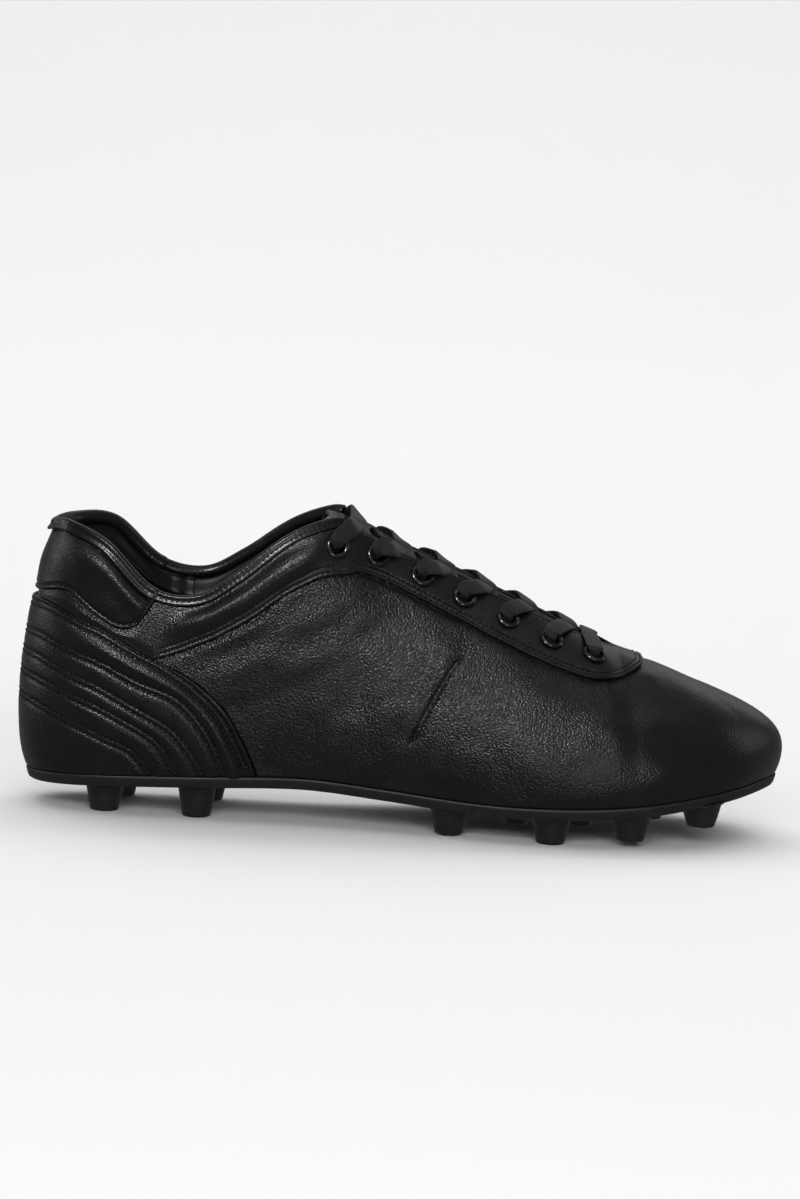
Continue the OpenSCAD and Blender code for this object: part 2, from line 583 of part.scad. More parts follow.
module tongue_layer(outer_d, inner_d, last) {
    columns = [for (i = [0 : last]) TONGUE_A[i]];
    sheet([for (a = columns) tongue_row(a, outer_d, 12)], [for (a = columns) tongue_row(a, inner_d, 12)]);
}
tongue_foam_d = tongue_depth + tongue_leather + tongue_gap;
tongue_lining_d = tongue_foam_d + tongue_foam + tongue_gap;
module tongue_face() {
    color("#1e1e1f") tongue_layer(tongue_depth, tongue_depth + tongue_leather, 14);
}
module tongue_padding() {
    color("#6f6f72") tongue_layer(tongue_foam_d, tongue_foam_d + tongue_foam, 12);
}
module tongue_lining() {
    color("#101011") tongue_layer(tongue_lining_d, tongue_lining_d + lining, 13);
}

// ---- lace ----
// The lace starts as a bar over the front eyelets. Each end goes in, comes up through the throat,
// crosses over and goes into the next eyelet from outside. The ends are tucked in behind the tongue.
lace_hole_w = 3;
lace_hole_t = 2.4;
lace_in = -2.9;
lace_under = -3.65;
lace_out = 3.2;
lace_over = 4;
// A point of the lace: [place in space, thin direction, width, thickness]
function lace_at(frame, up, towards, w, t) =
    [frame[0] + frame[1] * up + frame[2] * towards, frame[1], w, t];
function through(frame) =
    [for (d = [lace_out, 1.4, -1, lace_in]) [frame[0] + frame[1] * d, frame[2], lace_hole_w, lace_hole_t]];
function strand(side, i) =
    let(from = eyelet_frame(side, i), to = eyelet_frame(-side, i - 1),
        a0 = EYELET_A[i], a1 = EYELET_A[i - 1],
        leave = mix(a0, a1, 0.25), arrive = mix(a0, a1, 0.78),
        edge_in = off([side * leave, 1], lace_under + 0.3) + [0, 1.3 * side, 0],
        edge_out = off([-side * arrive, 0.99], lace_out + 0.3),
        middle = top_line(mix(a0, a1, 0.52)),
        crossing = [middle[0], 0, middle[2] + (side > 0 ? 3.9 : 2.3)],
        n0 = normal(side * leave, 0.99), n1 = normal(-side * arrive, 0.99))
    concat([lace_at(from, lace_under, 3.4, lace_w * 0.8, lace_t)],
           [[edge_in, n0, lace_w, lace_t],
            [mix(edge_in, crossing, 0.55), unit(n0 + [0, 0, 1.5]), lace_w, lace_t],
            [crossing, [0, 0, 1], lace_w, lace_t],
            [edge_out, n1, lace_w, lace_t],
            lace_at(to, lace_over + 0.15, 3, lace_w * 0.85, lace_t)],
           through(to));
function tail_end(side) =
    [for (p = [[0.452, 0.86], [0.456, 0.8], [0.46, 0.72], [0.464, 0.64], [0.468, 0.56]])
        [off([side * p[0], p[1]], lace_under - 0.4), normal(side * p[0], p[1]), lace_w * 0.8, lace_t]];
function half_lace(side) =
    concat(through(eyelet_frame(side, 6)),
           flat([for (k = [0 : 5]) strand(k % 2 == 0 ? side : -side, 6 - k)]),
           tail_end(side));
function backwards(list) = [for (i = [len(list) - 1 : -1 : 0]) list[i]];
function bar(side) = [lace_at(eyelet_frame(side, 6), lace_over + 0.3, 2.8, lace_w * 0.85, lace_t)];
LACE = function()
    concat(backwards(half_lace(1)), bar(1),
           [let(m = top_line(EYELET_A[6])) [[m[0], 0, m[2] + 3.9], [0, 0, 1], lace_w, lace_t]],
           bar(-1), half_lace(-1));
// Turns u the way a direction turns from p to q, so that the lace doesn't twist at a bend
function carried(u, p, q) = let(v = cross(p, q)) u * (p * q) + cross(v, u) + v * ((v * u) / (1 + p * q));
module lace() {
    route = LACE();
    last = len(route) - 1;
    along = [for (i = [0 : last]) unit(route[min(last, i + 1)][0] - route[max(0, i - 1)][0])];
    thin = [for (i = [0 : last]) unit(route[i][1] - along[i] * (along[i] * route[i][1]))];
    turn = [for (i = 0, s = 1; i <= last;
                 s = i < last && carried(thin[i] * s, along[i], along[i + 1]) * thin[i + 1] < 0 ? -1 : 1,
                 i = i + 1) s];
    color("#161617")
    rod([for (i = [0 : last])
        ring(route[i][0], along[i], thin[i] * turn[i], route[i][2], route[i][3], 8)]);
}
module lace_aglets() {
    aglet_r = 1.3;
    color("#2f2f31")
    for (side = [1, -1]) {
        from = off([side * 0.4685, 0.55], lace_under - 0.8);
        to = off([side * 0.474, 0.36], lace_under - 1.3);
        d = to - from;
        translate(from)
            rotate([0, acos(d[2] / norm(d)), atan2(d[1], d[0])])
                cylinder(h = norm(d), r = aglet_r, $fn = round_fn);
    }
}

outsole_plate();
forefoot_studs();
centre_studs();
heel_studs();
shank();
bottom_filler();
insole_board();
footbed();
toe_puff();
heel_counter();
vamp();
lateral_quarter();
medial_quarter();
eyestay_collar();
eyestay_backing();
heel_panel();
heel_collar();
collar_padding();
collar_binding();
tongue_face();
tongue_padding();
tongue_lining();
vamp_lining();
quarter_lining();
lateral_eyelets();
medial_eyelets();
lace();
lace_aglets();
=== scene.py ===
import math

import bpy
import numpy as np
from mathutils import Matrix, Vector


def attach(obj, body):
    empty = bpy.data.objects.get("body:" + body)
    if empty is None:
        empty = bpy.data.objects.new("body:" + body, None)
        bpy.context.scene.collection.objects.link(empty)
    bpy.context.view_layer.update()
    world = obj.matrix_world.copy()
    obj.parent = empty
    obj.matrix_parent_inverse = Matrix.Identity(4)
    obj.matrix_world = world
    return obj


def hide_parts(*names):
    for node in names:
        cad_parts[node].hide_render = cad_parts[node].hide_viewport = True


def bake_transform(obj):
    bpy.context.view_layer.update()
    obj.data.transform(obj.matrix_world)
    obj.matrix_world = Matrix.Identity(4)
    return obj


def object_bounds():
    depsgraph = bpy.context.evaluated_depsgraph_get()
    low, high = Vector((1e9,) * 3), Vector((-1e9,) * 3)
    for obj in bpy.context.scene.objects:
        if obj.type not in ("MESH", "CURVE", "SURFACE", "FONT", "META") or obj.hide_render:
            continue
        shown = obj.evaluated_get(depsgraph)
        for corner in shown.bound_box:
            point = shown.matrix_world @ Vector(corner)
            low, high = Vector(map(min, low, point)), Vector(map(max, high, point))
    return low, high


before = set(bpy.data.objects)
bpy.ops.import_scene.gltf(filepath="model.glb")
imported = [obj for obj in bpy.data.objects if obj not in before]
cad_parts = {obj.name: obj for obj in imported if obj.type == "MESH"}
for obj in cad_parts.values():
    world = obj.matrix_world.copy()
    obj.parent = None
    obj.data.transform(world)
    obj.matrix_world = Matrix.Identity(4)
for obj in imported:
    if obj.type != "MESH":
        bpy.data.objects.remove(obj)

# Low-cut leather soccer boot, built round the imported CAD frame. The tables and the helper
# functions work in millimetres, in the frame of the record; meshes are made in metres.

CAD_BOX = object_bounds()
MM = 0.001
SIDES = (1, -1)

# ---------------------------------------------------------------- camera
AIM = Vector((CAD_BOX[0].x / 2 + CAD_BOX[1].x / 2 - 0.0011, 0, 0.0544))
AIM_BELOW_CENTRE = 0.0269
CAMERA_TILT = math.radians(7.5)
CAMERA_ROLL = math.radians(3.12)
CAMERA_DISTANCE = 1.8
VIEW_HEIGHT = 0.4442
SENSOR = 36


def make_camera():
    """Looks at the lateral side from slightly above, rolled so that the toe points down."""
    forward = Vector((0, math.cos(CAMERA_TILT), -math.sin(CAMERA_TILT)))
    level_up = Vector((0, math.sin(CAMERA_TILT), math.cos(CAMERA_TILT)))
    right = Vector((1, 0, 0)) * math.cos(CAMERA_ROLL) + level_up * math.sin(CAMERA_ROLL)
    up = level_up * math.cos(CAMERA_ROLL) - Vector((1, 0, 0)) * math.sin(CAMERA_ROLL)
    data = bpy.data.cameras.new("camera")
    data.sensor_width = SENSOR
    data.lens = SENSOR * CAMERA_DISTANCE / VIEW_HEIGHT
    camera = bpy.data.objects.new("camera", data)
    bpy.context.scene.collection.objects.link(camera)
    place_at = AIM + up * AIM_BELOW_CENTRE - forward * CAMERA_DISTANCE
    rotation = Matrix((right, up, -forward)).transposed().to_4x4()
    camera.matrix_world = Matrix.Translation(place_at) @ rotation
    bpy.context.scene.camera = camera


make_camera()

# ---------------------------------------------------------------- the upper's surface
# A place on the upper is (a, t): a runs from 0 at the middle of the heel to 1 at the toe,
# positive on the lateral side and negative on the medial side, and t runs from 0 at the sole
# to 1 at the collar, the throat or the ridge of the vamp.

# Plan of the feather line: a, x, y
LATERAL_PLAN = [[0, -137.5, 0], [0.055, -131, -16], [0.123, -113, -27.5], [0.254, -72, -31.5],
                [0.381, -32, -32.5], [0.51, 8, -38.5], [0.639, 48, -47], [0.766, 88, -45.5],
                [0.848, 112, -35.5], [0.918, 129, -20.5], [1, 140.5, 4]]
MEDIAL_PLAN = [[0, -137.5, 0], [0.055, -131, 15], [0.123, -113, 25], [0.254, -72, 26.5],
               [0.381, -32, 25.5], [0.51, 8, 32.5], [0.639, 48, 43.5], [0.766, 88, 46.5],
               [0.848, 112, 39.5], [0.918, 129, 27], [1, 140.5, 4]]
# Height of the feather line: x, z
SOLE_LINE = [[-150, 12.5], [-136, 12.8], [-110, 14.6], [-75, 16.2], [-35, 17.9], [-5, 16.2],
             [25, 14.2], [55, 14.2], [85, 16], [113, 19.8], [140, 24.2], [150, 25.5]]
# Collar edge, then throat edge, then ridge of the vamp: a, x, half width, z
TOP_LINE = [[-0.055, -125, -13.5, 105], [0, -131, 0, 103.5], [0.055, -125, 13.5, 105],
            [0.123, -110, 23, 99], [0.19, -93, 28, 84], [0.254, -76, 30, 82.3],
            [0.32, -61, 29.5, 91.8], [0.381, -45, 27, 105], [0.43, -32, 23.5, 111.2],
            [0.46, -24, 20.5, 112], [0.51, -10, 17, 104], [0.575, 12, 14, 95],
            [0.639, 34, 11.5, 85.7], [0.7, 56, 9.5, 76], [0.74, 70, 7, 70.5],
            [0.766, 77, 0, 67.8], [0.848, 90, 0, 64.2], [0.918, 98.5, 0, 61], [1, 104, 0, 59.2],
            [1.082, 98.5, 0, 61]]
# How much higher the collar is on the medial side: a, z
MEDIAL_RISE = [[-0.055, 0], [0, 0], [0.055, 0], [0.123, 4.5], [0.19, 4.8], [0.254, 3.3],
               [0.32, 1.5], [0.381, 0], [0.45, 0], [1, 0], [1.1, 0]]
# How a rib leaves the sole: a, outwards, upwards
LOW_HANDLE = [[-0.123, 7.5, 22], [0, 8.5, 20], [0.123, 7.5, 22], [0.254, 6, 24],
              [0.381, 6.5, 26], [0.51, 8, 26], [0.639, 8, 24], [0.766, 8.5, 22],
              [0.88, 8.5, 21], [1, 7.5, 19.6], [1.12, 8.5, 21]]
# How it arrives at the top line: a, outwards, downwards
HIGH_HANDLE = [[-0.123, 7, 24], [0, 8.5, 22], [0.123, 7, 24], [0.254, 5, 26], [0.381, 6, 28],
               [0.46, 9, 28], [0.55, 14, 20], [0.639, 18, 13], [0.72, 22, 6], [0.766, 24, 0],
               [0.848, 26, 0], [1, 29, 0], [1.152, 26, 0]]
RIDGE_SLOPE = 0.38

# Seams: a, t
HEEL_SEAM = [[-0.066, 0.667], [0, 0.69], [0.066, 0.667], [0.11, 0.646], [0.147, 0.65],
             [0.174, 0.662], [0.2, 0.657], [0.228, 0.615], [0.256, 0.53], [0.286, 0.365],
             [0.306, 0.16], [0.32, 0]]
TAB_SEAM = [[0, 0.712], [0.03, 0.705], [0.05, 0.712], [0.07, 0.725], [0.085, 0.723],
            [0.106, 0.7], [0.119, 0.686], [0.133, 0.682], [0.146, 0.69], [0.159, 0.72],
            [0.173, 0.777], [0.185, 0.868], [0.195, 0.943], [0.2, 0.96]]
STAY_SEAM = [[0.2, 0.665], [0.228, 0.722], [0.255, 0.76], [0.285, 0.768], [0.343, 0.767],
             [0.396, 0.777], [0.425, 0.788], [0.459, 0.79], [0.482, 0.825], [0.509, 0.84],
             [0.532, 0.83], [0.566, 0.803], [0.599, 0.777], [0.639, 0.733], [0.679, 0.695],
             [0.718, 0.67], [0.739, 0.673], [0.764, 0.705], [0.789, 0.795], [0.811, 0.885],
             [0.83, 1]]
# Curved rows of quilting across the heel panel
QUILT_LINES = [
    [[0, 0.565], [0.044, 0.55], [0.101, 0.515], [0.151, 0.502], [0.19, 0.49], [0.221, 0.453],
     [0.24, 0.38], [0.258, 0.258], [0.271, 0.13], [0.28, 0.004]],
    [[0, 0.495], [0.049, 0.473], [0.105, 0.424], [0.154, 0.386], [0.19, 0.336], [0.217, 0.265],
     [0.236, 0.165], [0.248, 0.07], [0.255, 0.004]],
    [[0, 0.425], [0.052, 0.395], [0.107, 0.347], [0.155, 0.295], [0.185, 0.24], [0.204, 0.175],
     [0.217, 0.08], [0.224, 0.004]],
    [[0, 0.34], [0.055, 0.302], [0.109, 0.237], [0.144, 0.183], [0.172, 0.135], [0.187, 0.065],
     [0.195, 0.004]]]
# Where the quarter's grid meets the vamp's, at t 0 and at t 0.8
SPLIT_LOW, SPLIT_HIGH = 0.47, 0.6
# The sewn pleat beside it: a at t 0, how much a grows with t, and its ends in t
PLEAT_FOOT, PLEAT_LEAN, PLEAT_FROM, PLEAT_TO = 0.458, 0.218, 0.24, 0.6
STAY_START, STAY_FRONT, THROAT_FRONT, JOIN_A = 0.425, 0.83, 0.766, 0.2
COLLAR_TOP = 0.96
# Eyelets: a, and then their share of the way from the seam to the edge of the throat
EYELET_A = [0.45, 0.505, 0.556, 0.602, 0.647, 0.69, 0.733]
EYELET_ACROSS = [[0.42, 0.6], [0.45, 0.58], [0.505, 0.585], [0.556, 0.59], [0.6, 0.535],
                 [0.647, 0.505], [0.69, 0.47], [0.74, 0.46], [0.85, 0.46]]

# Thicknesses
LEATHER, STAY_LEATHER, LINING, STIFFENER, COLLAR_FOAM = 1.4, 1.2, 0.9, 0.95, 4.2
LAYER_GAP = 0.35
PLATE_T = 4.3
TONGUE_DEPTH, TONGUE_FOAM = 5.9, 3.6


def mix(p, q, f):
    return p + (q - p) * f


def unit(v):
    return v / np.maximum(np.linalg.norm(v, axis=-1, keepdims=True), 1e-12)


def smooth(low, high, x):
    f = np.clip((np.asarray(x, float) - low) / (high - low), 0, 1)
    return f * f * (3 - 2 * f)


def band(x, rise_from, rise_to, fall_from, fall_to):
    """0, then 1 from rise_to to fall_from, then 0 again, with smooth slopes."""
    return smooth(rise_from, rise_to, x) * (1 - smooth(fall_from, fall_to, x))


def bell(x, width):
    return np.exp(-((x / width) ** 2))


def curve(knots, at):
    """Smooth curve through knots [key, value, ...], read at an array of keys."""
    k = np.asarray(knots, float)
    at = np.asarray(at, float)
    i = np.clip(np.searchsorted(k[:, 0], at, "right") - 1, 0, len(k) - 2)
    before, after = np.maximum(i - 1, 0), np.minimum(i + 2, len(k) - 1)
    span = (k[i + 1, 0] - k[i, 0])[..., None]
    f = (at - k[i, 0])[..., None] / span
    leave = (k[i + 1, 1:] - k[before, 1:]) * span / (k[i + 1, 0] - k[before, 0])[..., None]
    arrive = (k[after, 1:] - k[i, 1:]) * span / (k[after, 0] - k[i, 0])[..., None]
    return (k[i, 1:] * (2 * f**3 - 3 * f * f + 1) + leave * (f**3 - 2 * f * f + f)
            + k[i + 1, 1:] * (3 * f * f - 2 * f**3) + arrive * (f**3 - f * f))


def ringed(side, other):
    """A side's plan with one knot of the other side before and after it."""
    first, last = other[1], other[-2]
    return [[-first[0], *first[1:]], *side, [2 - last[0], *last[1:]]]


LATERAL_RING = ringed(LATERAL_PLAN, MEDIAL_PLAN)
MEDIAL_RING = ringed(MEDIAL_PLAN, LATERAL_PLAN)


def wrapped(a):
    a = np.asarray(a, float)
    return np.where(a > 1, a - 2, np.where(a < -1, a + 2, a))


def plan(a):
    return np.where((a >= 0)[..., None], curve(LATERAL_RING, abs(a)), curve(MEDIAL_RING, abs(a)))


def sole_z(x):
    return curve(SOLE_LINE, x)[..., 0]


def plan_normal(a):
    d = unit(plan(wrapped(a + 0.004)) - plan(wrapped(a - 0.004)))
    return np.stack([d[..., 1], -d[..., 0]], -1)


def top_line(a):
    p = curve(TOP_LINE, abs(a))
    a = np.asarray(a, float)
    side = np.where(a >= 0, -1, 1)
    rise = np.where(a < 0, curve(MEDIAL_RISE, -a)[..., 0], 0)
    return np.stack([p[..., 0], side * np.maximum(0, p[..., 1]), p[..., 2] + rise], -1)


def rib(a):
    """The four control points of the rib of the upper at each a."""
    a = wrapped(a)
    foot = plan(a)
    low = np.concatenate([foot, sole_z(foot[..., 0])[..., None]], -1)
    high = top_line(a)
    n = plan_normal(a)
    lo, hi = curve(LOW_HANDLE, abs(a)), curve(HIGH_HANDLE, abs(a))
    fall = hi[..., 1] + RIDGE_SLOPE * np.maximum(0, n[..., 0]) * hi[..., 0]
    leave = np.concatenate([n * lo[..., :1], lo[..., 1:2]], -1)
    arrive = np.concatenate([n * hi[..., :1], -fall[..., None]], -1)
    return low, low + leave, high + arrive, high


def along_rib(r, t):
    t = np.asarray(t, float)[..., None]
    u = 1 - t
    return r[0] * u**3 + r[1] * (3 * u * u * t) + r[2] * (3 * u * t * t) + r[3] * t**3


def surface(a, t):
    """Points of the upper's surface and its outward normals."""
    a, t = np.broadcast_arrays(np.asarray(a, float), np.asarray(t, float))
    e = 0.001
    here = rib(a)
    along = along_rib(rib(a + e), t) - along_rib(rib(a - e), t)
    rise = along_rib(here, np.minimum(1, t + e)) - along_rib(here, np.maximum(0, t - e))
    return along_rib(here, t), unit(np.cross(along, rise))


def off(a, t, d):
    p, n = surface(a, t)
    return p + n * np.asarray(d, float)[..., None]


def read(seam, at):
    return curve(seam, at)[..., 0]


def heel_t(a):
    return read(HEEL_SEAM, np.minimum(0.32, abs(np.asarray(a, float))))


def tab_t(a):
    return read(TAB_SEAM, np.minimum(0.2, abs(np.asarray(a, float))))


def stay_t(a):
    return np.minimum(1, read(STAY_SEAM, np.clip(abs(np.asarray(a, float)), 0.2, STAY_FRONT)))


def edge_t(a):
    """Top edge of the leather."""
    b = abs(np.asarray(a, float))
    return np.where(b < THROAT_FRONT, mix(COLLAR_TOP, 0.995, smooth(0.46, 0.5, b)), 1)


def split_a(t):
    return mix(SPLIT_LOW, SPLIT_HIGH, np.asarray(t, float) / 0.8)


def stiff(a, t):
    """1 where the toe puff or the heel counter lies between leather and lining."""
    b = abs(a)
    return np.maximum(smooth(0.79, 0.85, b) * (1 - smooth(0.8, 0.95, t)),
                      (1 - smooth(0.24, 0.31, b)) * (1 - smooth(0.5, 0.62, t)))


def foam(a, t):
    """1 where the collar's foam is full."""
    return band(t, 0.6, 0.72, 0.88, 0.96) * (1 - smooth(0.38, 0.425, abs(a)))


def lining_depth(a, t):
    return LEATHER + 2 * LAYER_GAP + STIFFENER * stiff(a, t) + COLLAR_FOAM * foam(a, t)


# ---------------------------------------------------------------- mesh tools
def make_object(name, points, faces, uv=None):
    """A smooth mesh object from points in millimetres and arrays of faces of one size each."""
    mesh = bpy.data.meshes.new(name)
    points = np.asarray(points, float).reshape(-1, 3) * MM
    mesh.vertices.add(len(points))
    mesh.vertices.foreach_set("co", points.astype(np.float32).ravel())
    faces = [np.asarray(f, np.int32) for f in faces if len(f)]
    loops = np.concatenate([f.ravel() for f in faces])
    totals = np.concatenate([np.full(len(f), f.shape[1], np.int32) for f in faces])
    mesh.loops.add(len(loops))
    mesh.loops.foreach_set("vertex_index", loops)
    mesh.polygons.add(len(totals))
    starts = np.concatenate([[0], np.cumsum(totals)[:-1]]).astype(np.int32)
    mesh.polygons.foreach_set("loop_start", starts)
    mesh.polygons.foreach_set("use_smooth", np.ones(len(totals), bool))
    if uv is not None:
        layer = mesh.uv_layers.new(name="weave")
        layer.data.foreach_set("uv", np.asarray(uv, np.float32)[loops].ravel())
    mesh.update(calc_edges=True)
    mesh.validate()
    made = bpy.data.objects.new(name, mesh)
    bpy.context.scene.collection.objects.link(made)
    return made


def shell(name, p, n, top, low, keep=None, sharp=None):
    """A closed sheet between two heights over a grid of points with their normals. Cells where
    keep is False are left out. Edges between grid points where sharp is True are creased."""
    cols, rows = p.shape[:2]
    sheets = [p + n * np.broadcast_to(h, (cols, rows))[..., None] for h in (top, low)]
    keep = np.ones((cols - 1, rows - 1), bool) if keep is None else keep
    count = cols * rows
    index = np.arange(count).reshape(cols, rows)
    a, b, c, d = index[:-1, :-1], index[1:, :-1], index[1:, 1:], index[:-1, 1:]
    quads = [np.stack([a, b, c, d], -1)[keep], np.stack([a, d, c, b], -1)[keep] + count]
    around = np.pad(keep, 1)
    for p, q, beyond in ((b, a, around[1:-1, :-2]), (d, c, around[1:-1, 2:]),
                         (a, d, around[:-2, 1:-1]), (c, b, around[2:, 1:-1])):
        open_side = keep & ~beyond
        quads.append(np.stack([p, q, q + count, p + count], -1)[open_side])
    points = np.concatenate(sheets).reshape(-1, 3)
    used = np.zeros(2 * count, bool)
    faces = np.concatenate(quads)
    used[faces.ravel()] = True
    renumber = np.cumsum(used) - 1
    made = make_object(name, points[used], [renumber[faces]])
    if sharp is not None:
        flags = np.concatenate([sharp.ravel()] * 2)[used]
        ends = np.empty(2 * len(made.data.edges), np.int32)
        made.data.edges.foreach_get("vertices", ends)
        creased = flags[ends.reshape(-1, 2)].all(1)
        made.data.attributes.new("sharp_edge", "BOOLEAN", "EDGE").data.foreach_set("value", creased)
    return made


def ring_angles(count):
    return np.arange(count) * 2 * math.pi / count


def ring_quads(index):
    """Faces between rings of point numbers, an array of rings x sides or of more such arrays."""
    turned = np.roll(index, -1, axis=-1)
    corners = [index[..., :-1, :], turned[..., :-1, :], turned[..., 1:, :], index[..., 1:, :]]
    return np.stack(corners, -1).reshape(-1, 4)


def tubes(name, sets, uv=None):
    """Closed tubes, each through rings of points, an array of rings x sides x 3."""
    points, faces, total = [], [], 0
    for rings in sets:
        count, sides = rings.shape[:2]
        index = np.arange(count * sides).reshape(count, sides) + total
        faces += [ring_quads(index), index[:1, ::-1], index[-1:]]
        points.append(rings.reshape(-1, 3))
        total += count * sides
    return make_object(name, np.concatenate(points), faces, uv)


def step_lengths(p, axis):
    return np.linalg.norm(np.diff(p, axis=axis), axis=-1)


def running(steps):
    """Distance from the start of a line to each of its points."""
    return np.concatenate([[0], np.cumsum(steps)])


def border_distance(p, sides="lrbt"):
    """Distance of each grid point to the borders named: left, right, bottom, top."""
    best = np.full(p.shape[:2], 1e9)
    for axis, low, high in ((0, "l", "r"), (1, "b", "t")):
        run = np.cumsum(step_lengths(p, axis), axis=axis)
        pad = [(0, 0), (0, 0)]
        pad[axis] = (1, 0)
        run = np.pad(run, pad)
        if low in sides:
            best = np.minimum(best, run)
        if high in sides:
            best = np.minimum(best, run.take([-1], axis=axis) - run)
    return best


def rolled(d, r):
    """How far a rounded edge of radius r has dropped at distance d from the border."""
    return r - np.sqrt(np.maximum(0, r * r - (r - np.minimum(d, r)) ** 2))


EDGE_STEPS = np.array([0, 0.07, 0.2, 0.4, 0.7, 1.1])


def shares(count, length):
    """Fractions from 0 to 1 for a grid direction of that length, closer near both ends."""
    near = EDGE_STEPS / length
    return np.concatenate([near, np.linspace(near[-1], 1 - near[-1], count)[1:-1], 1 - near[::-1]])


NOISE_CELLS = 16


def noise(p, size, seed):
    """Smooth value noise from -1 to 1 over points in millimetres."""
    table = np.random.default_rng(seed).uniform(-1, 1, (NOISE_CELLS,) * 3)
    q = np.asarray(p, float) / size
    i = np.floor(q).astype(int)
    f = q - i
    f = f * f * (3 - 2 * f)
    total = 0
    for corner in np.ndindex(2, 2, 2):
        weight = 1
        for k, upper in enumerate(corner):
            weight = weight * (f[..., k] if upper else 1 - f[..., k])
        total = total + weight * table[tuple((i[..., k] + corner[k]) % NOISE_CELLS for k in range(3))]
    return total


def line_on_upper(seam, side, count=240, low=None, high=None):
    """Points of a seam given as knots (a, t), on one side of the upper."""
    low = seam[0][0] if low is None else low
    high = seam[-1][0] if high is None else high
    a = np.linspace(low, high, count)
    return surface(side * a, np.clip(read(seam, a), 0, 1))


def distance_to(p, line):
    """Distance from each grid point to a dense line of points."""
    flat = p.reshape(-1, 3)
    best = np.empty(len(flat))
    for start in range(0, len(flat), 4000):
        part = flat[start:start + 4000]
        squares = (part**2).sum(1)[:, None] + (line**2).sum(1)[None] - 2 * part @ line.T
        best[start:start + 4000] = np.sqrt(np.maximum(0, squares.min(1)))
    return best.reshape(p.shape[:-1])


def resample(points, normals, pitch):
    """Points, normals and directions at an even pitch along a line."""
    run = running(step_lengths(points, 0))
    at = np.arange(pitch / 2, run[-1], pitch)

    def along(places, values):
        return np.stack([np.interp(places, run, values[:, k]) for k in range(3)], -1)

    ahead, behind = along(at + 0.3, points), along(at - 0.3, points)
    return along(at, points), unit(along(at, normals)), unit(ahead - behind)


def beside(line, shift, lift):
    """A line moved sideways along the surface and outwards."""
    p, n = line
    side = unit(np.cross(n, np.gradient(p, axis=0)))
    return p + side * shift + n * lift, n


def stitches(name, lines, pitch, length, radius):
    """Rows of raised thread, each stitch sunk into the leather at both ends."""
    along = np.array([-0.5, -0.43, -0.2, 0.2, 0.43, 0.5]) * length
    girth = np.array([0.4, 0.85, 1, 1, 0.85, 0.4]) * radius
    sink = np.array([-1.5, -0.7, 0, 0, -0.7, -1.5]) * radius
    sides = 6
    angle = ring_angles(sides)
    across, outwards = np.cos(angle) * girth[:, None], np.sin(angle) * girth[:, None] + sink[:, None]
    points = []
    for line in lines:
        p, n, d = resample(*line, pitch)
        w = unit(np.cross(n, d))
        ring = (w[:, None, None] * across[..., None] + np.cross(d, w)[:, None, None] * outwards[..., None]
                + d[:, None, None] * along[:, None, None] + p[:, None, None])
        points.append(ring.reshape(-1, 3))
    points = np.concatenate(points)
    index = np.arange(len(points)).reshape(-1, len(along), sides)
    return make_object(name, points, [ring_quads(index), index[:, 0, ::-1], index[:, -1]])


# ---------------------------------------------------------------- materials
def new_material(name, base, roughness, specular=0.5, sheen=0.0, coat=0.0, coat_roughness=0.2,
                 metallic=0.0):
    material = bpy.data.materials.new(name)
    material.use_nodes = True
    tree = material.node_tree
    shader = tree.nodes["Principled BSDF"]
    looks = {"Base Color": (*base, 1), "Roughness": roughness, "Specular IOR Level": specular,
             "Sheen Weight": sheen, "Sheen Roughness": 0.4, "Coat Weight": coat,
             "Coat Roughness": coat_roughness, "Metallic": metallic}
    for key, value in looks.items():
        shader.inputs[key].default_value = value
    return material, tree, shader


def node(tree, kind, **settings):
    """Adds a node. A setting is a property, the value of an input, or a socket to link to it."""
    made = tree.nodes.new(kind)
    for key, value in settings.items():
        if isinstance(value, bpy.types.NodeSocket):
            tree.links.new(value, made.inputs[key])
        elif key in made.inputs:
            made.inputs[key].default_value = value
        else:
            setattr(made, key, value)
    return made


def place_coordinates(tree, scale=(1, 1, 1)):
    coordinates = node(tree, "ShaderNodeTexCoord").outputs["Object"]
    return node(tree, "ShaderNodeMapping", Vector=coordinates, Scale=scale).outputs["Vector"]


def noise_node(tree, vector, scale, detail=3, roughness=0.55):
    return node(tree, "ShaderNodeTexNoise", Vector=vector, Scale=scale, Detail=detail,
                Roughness=roughness).outputs["Fac"]


def ranged(tree, value, low, high, to_low, to_high):
    limits = {"From Min": low, "From Max": high, "To Min": to_low, "To Max": to_high}
    return node(tree, "ShaderNodeMapRange", Value=value, **limits).outputs["Result"]


def bumps(tree, shader, layers):
    """Stacks bump nodes; each layer is (height, strength, distance in metres). A strength is a
    number or the output of a node."""
    below = {}
    for height, strength, distance in layers:
        bump = node(tree, "ShaderNodeBump", Distance=distance, Strength=strength, Height=height, **below)
        below = {"Normal": bump.outputs["Normal"]}
    tree.links.new(below["Normal"], shader.inputs["Normal"])


def colour_mix(tree, factor, first, second):
    return node(tree, "ShaderNodeMix", data_type="RGBA", Factor=factor, A=(*first, 1),
                B=(*second, 1)).outputs["Result"]


def tinted(tree, shader, factor, base, dark, light):
    """Varies the base colour between two multiples of itself."""
    mixed = colour_mix(tree, factor, [dark * c for c in base], [light * c for c in base])
    tree.links.new(mixed, shader.inputs["Base Color"])


def combined(tree, operation, sources):
    made = node(tree, "ShaderNodeMath", operation=operation)
    for source, socket in zip(sources, made.inputs):
        tree.links.new(source, socket)
    return made.outputs[0]


